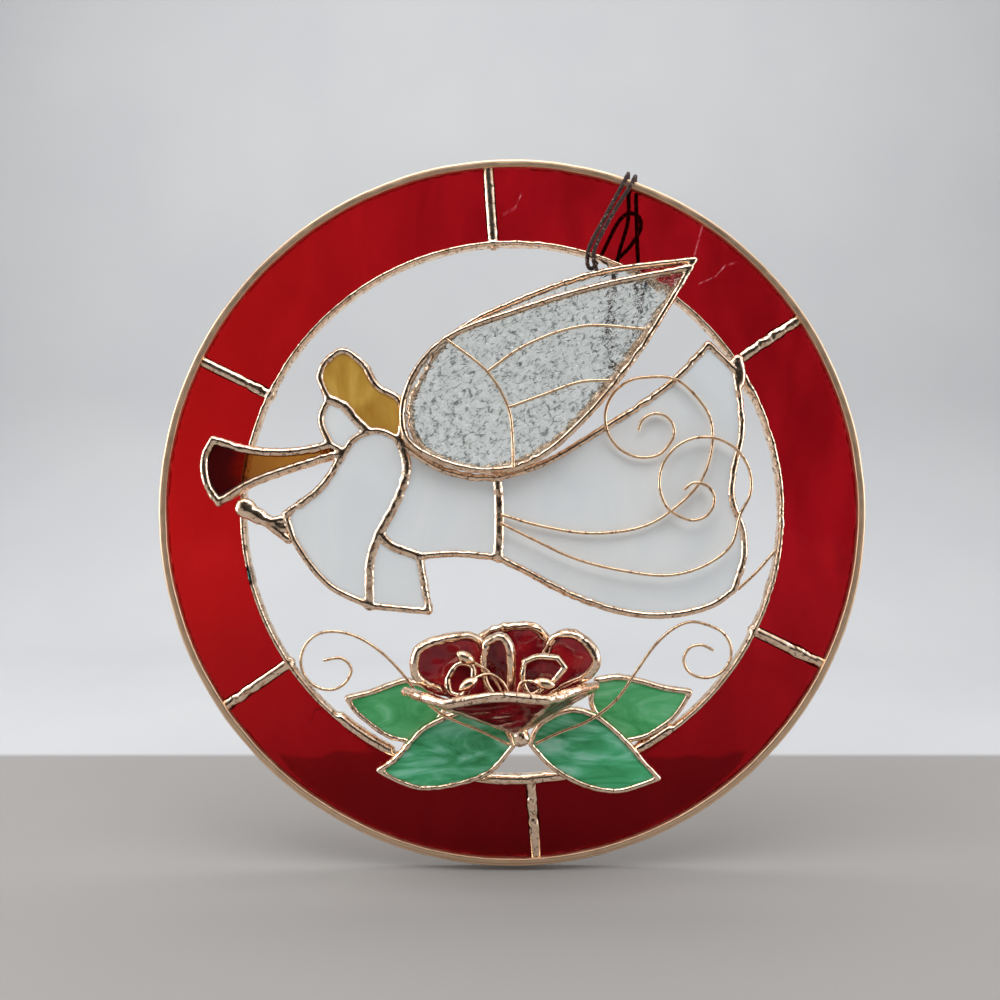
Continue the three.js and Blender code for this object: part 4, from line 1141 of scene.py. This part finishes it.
def flower_wire(points):
    """A wire that lies on the lower leaves at its start, and comes down from there to the ring."""
    fall = (FLOWER_WIRE_LAYER - ON_THE_RING_LAYER) / FLOWER_WIRE_FALL_POINTS
    steps = np.clip(np.arange(len(points)) - FLOWER_WIRE_LEVEL_POINTS, 0, FLOWER_WIRE_FALL_POINTS)
    return [(x, y, FLOWER_WIRE_LAYER - fall * step) for (x, y), step in zip(points, steps)]


def make_flower_scrolls():
    wires("left_flower_scroll", [flower_wire(LEFT_SCROLL)], 0, "flower_scroll_left", 5)
    wires("right_flower_scroll", [flower_wire(RIGHT_SCROLL)], 0, "flower_scroll_right", 6)


def make_petals():
    for seed, (node, (foot, turn, lean, lines)) in enumerate(PETALS.items()):
        stand = (Matrix.Translation(foot) @ Matrix.Rotation(math.radians(turn), 4, "Y")
                 @ Matrix.Rotation(math.radians(lean), 4, "X"))
        width = INNER_PETAL_EDGE_WIDTH if node in INNER_PETALS else PETAL_EDGE_WIDTH
        edged_pane(node, lines, "rose_glass", ROSE_GLASS, stand, (0.6, 0.12, 5.0, 80 + seed),
                   width, 90 + seed, **ROSE_SOLDER)


def make_cup():
    foot = Vector(CUP_FOOT)
    rims = []
    for i, node in enumerate(CUP_PETALS):
        left, right = Vector(CUP_RIM[i]), Vector(CUP_RIM[i + 1])
        across = (right - left).normalized()
        front = across.cross(left - foot).normalized()
        up = front.cross(across)
        plane = Matrix.Translation(foot) @ Matrix((across, up, front)).transposed().to_4x4()
        flat_left, flat_right = (plane.inverted() @ point for point in (left, right))
        crown = ((flat_left.x + flat_right.x) / 2, flat_left.y + CUP_BULGES[i])
        rim = [flat_right.xy[:], crown, flat_left.xy[:]]
        rims.append([tuple(plane @ Vector((x, y, 0))) for x, y in rim])
        sheet = pane(f"sheet_of_{node}", [[rim[-1], (0, 0)], [(0, 0), rim[0]], rim], 0.6, 0.1, 6.0, 100 + i)
        settle(sheet, "rose_glass", ROSE_GLASS, node, local=plane)
    seams = [[corner, CUP_FOOT] for corner in CUP_RIM]
    blob = [[CUP_BLOB, (CUP_BLOB[0], CUP_BLOB[1] + 0.4, CUP_BLOB[2])]]
    piece = solder("cup_solder", [(rims, PETAL_EDGE_WIDTH, PETAL_EDGE_WIDTH),
                                  (seams, PETAL_EDGE_WIDTH, PETAL_EDGE_WIDTH),
                                  (blob, 2 * CUP_BLOB_RADIUS, 2 * CUP_BLOB_RADIUS)], 105, **ROSE_SOLDER)
    settle(piece, "copper", SOLDER, "rose_cup_seams")


def make_stamens():
    for i, points in enumerate(STAMENS):
        name = f"stamen_{i + 1}"
        stem = WIRE_TREE.apply(curves_of(f"{name}_stem", [smooth(points, 0.5)]), f"{name}_stem",
                               Diameter=WIRE_DIAMETER, Seed=i)
        tip, before = Vector(points[-1]), Vector(points[-2])
        outwards = (tip - before).normalized()
        foot = tip - outwards * BUD_LENGTH
        runs = [([[foot.lerp(tip, share), tip.lerp(foot, 0.9 * share)]], width, width)
                for share, width in BUD_TAPER]
        bud = solder(f"{name}_bud", runs, 110 + i, voxel=0.25, swell=0.1, lumps=0.4)
        settle(joined(name, [stem, bud]), "wire", WIRE, f"rose_stamen_{i + 1}")


# The cord: a closed loop, folded round the band so that two strands lie side by side in front,
# and pulled through itself behind. The rest hangs behind the wing, where a knot closes it.

CORD_ROUTE = [
    (46.7, 79, -5.2), (44.2, 57.4, -5.5), (42.9, 53.3, -5.6), (40, 52, -5.6), (37.1, 53.3, -5.6),
    (35.8, 57.4, -5.5), (36.2, 76, -5), (39.2, 94.4, -4.3), (42.4, 106.4, -4.3), (42.6, 117.1, -4.4),
    (42.4, 120.6, -3.3), (42, 122, 0), (41.3, 120.9, 3.3), (39.9, 118, 4.4), (34.4, 107.8, 4.1),
    (27.6, 94.8, 4.2), (26.9, 91.6, 3.5), (27.4, 89, 0.6), (29.2, 89, -2.8), (32, 93, -5.4),
    (40.2, 108.2, -7), (43.4, 110.4, -7), (46.9, 108.9, -7), (47.6, 104.9, -7), (44.2, 98.6, -7),
    (38.6, 92.8, -6.5), (34.2, 88, -3.4), (31.4, 86.8, -0.2), (29.6, 88.6, 2.8), (29, 92, 4.1),
    (30, 95.6, 4.2), (36.1, 107.1, 4.1), (42.5, 117.1, 4.4), (43.9, 120, 3.3), (44.6, 121, 0),
    (45, 119.6, -3.3), (45.3, 116.1, -4.4), (46, 96, -4.4), (46.6, 86.6, -5),
]
KNOT_CENTRE = (46.7, 82.5, -5.2)

# How far the cord's middle goes from the knot's centre, two times round
KNOT_REACH = (1.4, 1.9, 1.1)
KNOT_POINTS = 25
BRAID_STRANDS = 8
BRAID_PITCH = 5.0
BRAID_RELIEF = 0.12
CORD_SIDES = 16
CORD_STEP = 0.35
FLECKS_PER_PITCH = 4


def braided_tube(name, route):
    """A tube whose surface rises where its strands cross over each other, with its own map."""
    path = smooth(route, CORD_STEP)
    tangents = np.gradient(path, axis=0)
    tangents /= np.linalg.norm(tangents, axis=1)[:, None]
    side = Vector((0, 0, 1)).cross(Vector(tangents[0])).normalized()
    points, places = [], []
    for i, (centre, tangent) in enumerate(zip(path, tangents)):
        tangent = Vector(tangent)
        side = (side - tangent * side.dot(tangent)).normalized()
        up = tangent.cross(side)
        for k in range(CORD_SIDES):
            turn = 2 * math.pi * k / CORD_SIDES
            pitches = i * CORD_STEP / BRAID_PITCH
            across, along = turn * BRAID_STRANDS / 2, 2 * math.pi * pitches
            weave = math.sin(across + along) * math.sin(across - along)
            reach = CORD_DIAMETER / 2 * (1 - BRAID_RELIEF + BRAID_RELIEF * weave)
            points.append(Vector(centre) + side * (math.cos(turn) * reach) + up * (math.sin(turn) * reach))
            places.append((k / CORD_SIDES * BRAID_STRANDS / 2, pitches * FLECKS_PER_PITCH))
    starts = range(0, len(points), CORD_SIDES)
    faces = [(start + k, start + (k + 1) % CORD_SIDES, start + CORD_SIDES + (k + 1) % CORD_SIDES,
              start + CORD_SIDES + k) for start in starts[:-1] for k in range(CORD_SIDES)]
    faces.append(tuple(reversed(range(CORD_SIDES))))
    faces.append(tuple(range(starts[-1], len(points))))
    mesh = mesh_of(name, points, faces)
    layer = mesh.uv_layers.new(name="braid")
    for loop in mesh.loops:
        layer.data[loop.index].uv = places[loop.vertex_index]
    return object_of(name, mesh), path


def make_cord():
    cord, path = braided_tube("brown_cord", CORD_ROUTE)
    settle(cord, "cord", CORD, "hanging_cord")

    turns = []
    for angle in np.linspace(0, 4 * math.pi, KNOT_POINTS):
        fold = math.cos(1.5 * angle)
        way = (math.cos(angle) * (0.75 + 0.25 * fold), math.sin(1.5 * angle), math.sin(angle))
        turns.append([centre + reach * w for centre, reach, w in zip(KNOT_CENTRE, KNOT_REACH, way)])
    knot, _ = braided_tube("cord_overhand_knot", turns)
    settle(knot, "cord", CORD, "cord_knot")


# The room: a pale floor that curves up behind, and soft lights

FLOOR_BELOW = RING_RADIUS + 1.5
FLOOR_HALF_WIDTH = 2400
FLOOR_FRONT = 2400
WALL_BEHIND = 640
WALL_HEIGHT = 2400
BEND_RADIUS = 260
BEND_STEPS = 16
TABLE_BACK_EDGE = 128
TABLE_EDGE_BLUR = 3
WALL_COLOUR = (0.54, 0.548, 0.558)
TABLE_COLOUR = (0.312, 0.298, 0.286)
ROOM_MOTTLE = [(0.3, (0.95, 0.95, 0.96)), (0.7, (1.0, 1.0, 1.0))]

# How bright the room is to what it lights and mirrors: from the wall, at 0, to the viewer, at 1
VIEWER_CORE = [(0.0, (1.18, 1.19, 1.20)), (0.5, (1.13, 1.14, 1.15)), (0.80, (0.94, 0.95, 0.96)),
               (0.89, (0.07, 0.07, 0.07)), (1.0, (0.02, 0.02, 0.02))]
ROOM_COLOUR = (0.60, 0.61, 0.62)

# Each light: its place and what it is turned to in the drawing, its size and its power
CENTRE = (0, 0, 0)
LIGHTS = {
    "ceiling_softbox": ((-60, 720, 330), CENTRE, (900, 420), 3.2),
    "left_window": ((-760, 160, 120), CENTRE, (360, 620), 2.8),
    "right_fill": ((760, 120, 160), CENTRE, (300, 520), 1.7),
    "wall_wash": ((0, 760, -180), (0, -60, -WALL_BEHIND), (1300, 240), 2.8),
}


def backdrop_material():
    """A pale wall, and the grey table top in front of it, both faintly mottled."""
    shader = Shader("pale_backdrop", Roughness=0.9)
    behind = shader.spread(shader.axis("Y"), 0.0, 1.0, TABLE_BACK_EDGE - TABLE_EDGE_BLUR,
                           TABLE_BACK_EDGE + TABLE_EDGE_BLUR)
    plain = shader.mix(behind, TABLE_COLOUR, WALL_COLOUR)
    mottle = shader.ramp(shader.noise(160.0, detail=2.0), ROOM_MOTTLE)
    shader.colour(shader.mix(1.0, plain, mottle, "MULTIPLY"))
    return shader.material


def make_room():
    bend = BEND_RADIUS - WALL_BEHIND
    profile = [(FLOOR_FRONT, -FLOOR_BELOW), (bend, -FLOOR_BELOW)]
    for i in range(1, BEND_STEPS + 1):
        x, y = polar(BEND_RADIUS, -90 + 90 * i / BEND_STEPS)
        profile.append((bend - x, -FLOOR_BELOW + BEND_RADIUS + y))
    profile.append((-WALL_BEHIND, WALL_HEIGHT))
    points = [(x, y, z) for z, y in profile for x in (-FLOOR_HALF_WIDTH, FLOOR_HALF_WIDTH)]
    faces = [(2 * i, 2 * i + 1, 2 * i + 3, 2 * i + 2) for i in range(len(profile) - 1)]
    room = object_of("pale_room", mesh_of("pale_room", points, faces))
    room.data.transform(UPRIGHT)
    room.data.materials.append(backdrop_material())
    shaded_smooth(room.data)


def make_light(name, place, aim, size, power):
    """A soft rectangular light, which no camera sees."""
    data = bpy.data.lights.new(name, "AREA")
    data.shape = "RECTANGLE"
    data.size, data.size_y = size[0] * MM, size[1] * MM
    data.energy = power
    light = bpy.data.objects.new(name, data)
    light.location = UPRIGHT @ Vector(place)
    direction = UPRIGHT @ Vector(aim) - light.location
    light.rotation_euler = direction.to_track_quat("-Z", "Y").to_euler()
    light.visible_camera = False
    bpy.context.collection.objects.link(light)


def make_world():
    """A soft room with a dim patch behind the viewer, which only what it lights and mirrors shows.

    What is seen of the room directly, or through the glass, is plain and pale on every side.
    """
    world = bpy.data.worlds.new("soft_room")
    world.use_nodes = True
    nodes = Nodes(world.node_tree)
    direction = nodes.node("ShaderNodeTexCoord").outputs["Generated"]
    half_towards_viewer = nodes.vector("DOT_PRODUCT", direction, (0, -0.5, 0))
    round_viewer = nodes.ramp(nodes.maths("ADD", half_towards_viewer, 0.5), VIEWER_CORE)
    path = nodes.node("ShaderNodeLightPath").outputs
    seen = nodes.maths("MAXIMUM", path["Is Camera Ray"], path["Is Transmission Ray"])
    background = world.node_tree.nodes["Background"]
    nodes.link(nodes.mix(seen, round_viewer, ROOM_COLOUR), background.inputs["Color"])
    bpy.context.scene.world = world
    bpy.context.scene.view_settings.view_transform = "Standard"


make_cord()
make_hoop()
make_ring_seams()
make_ring_glass()
make_angel()
make_wings()
make_scrolls()
make_leaves()
make_flower_scrolls()
make_petals()
make_cup()
make_stamens()
make_room()
for light_name, light_values in LIGHTS.items():
    make_light(light_name, *light_values)
make_world()
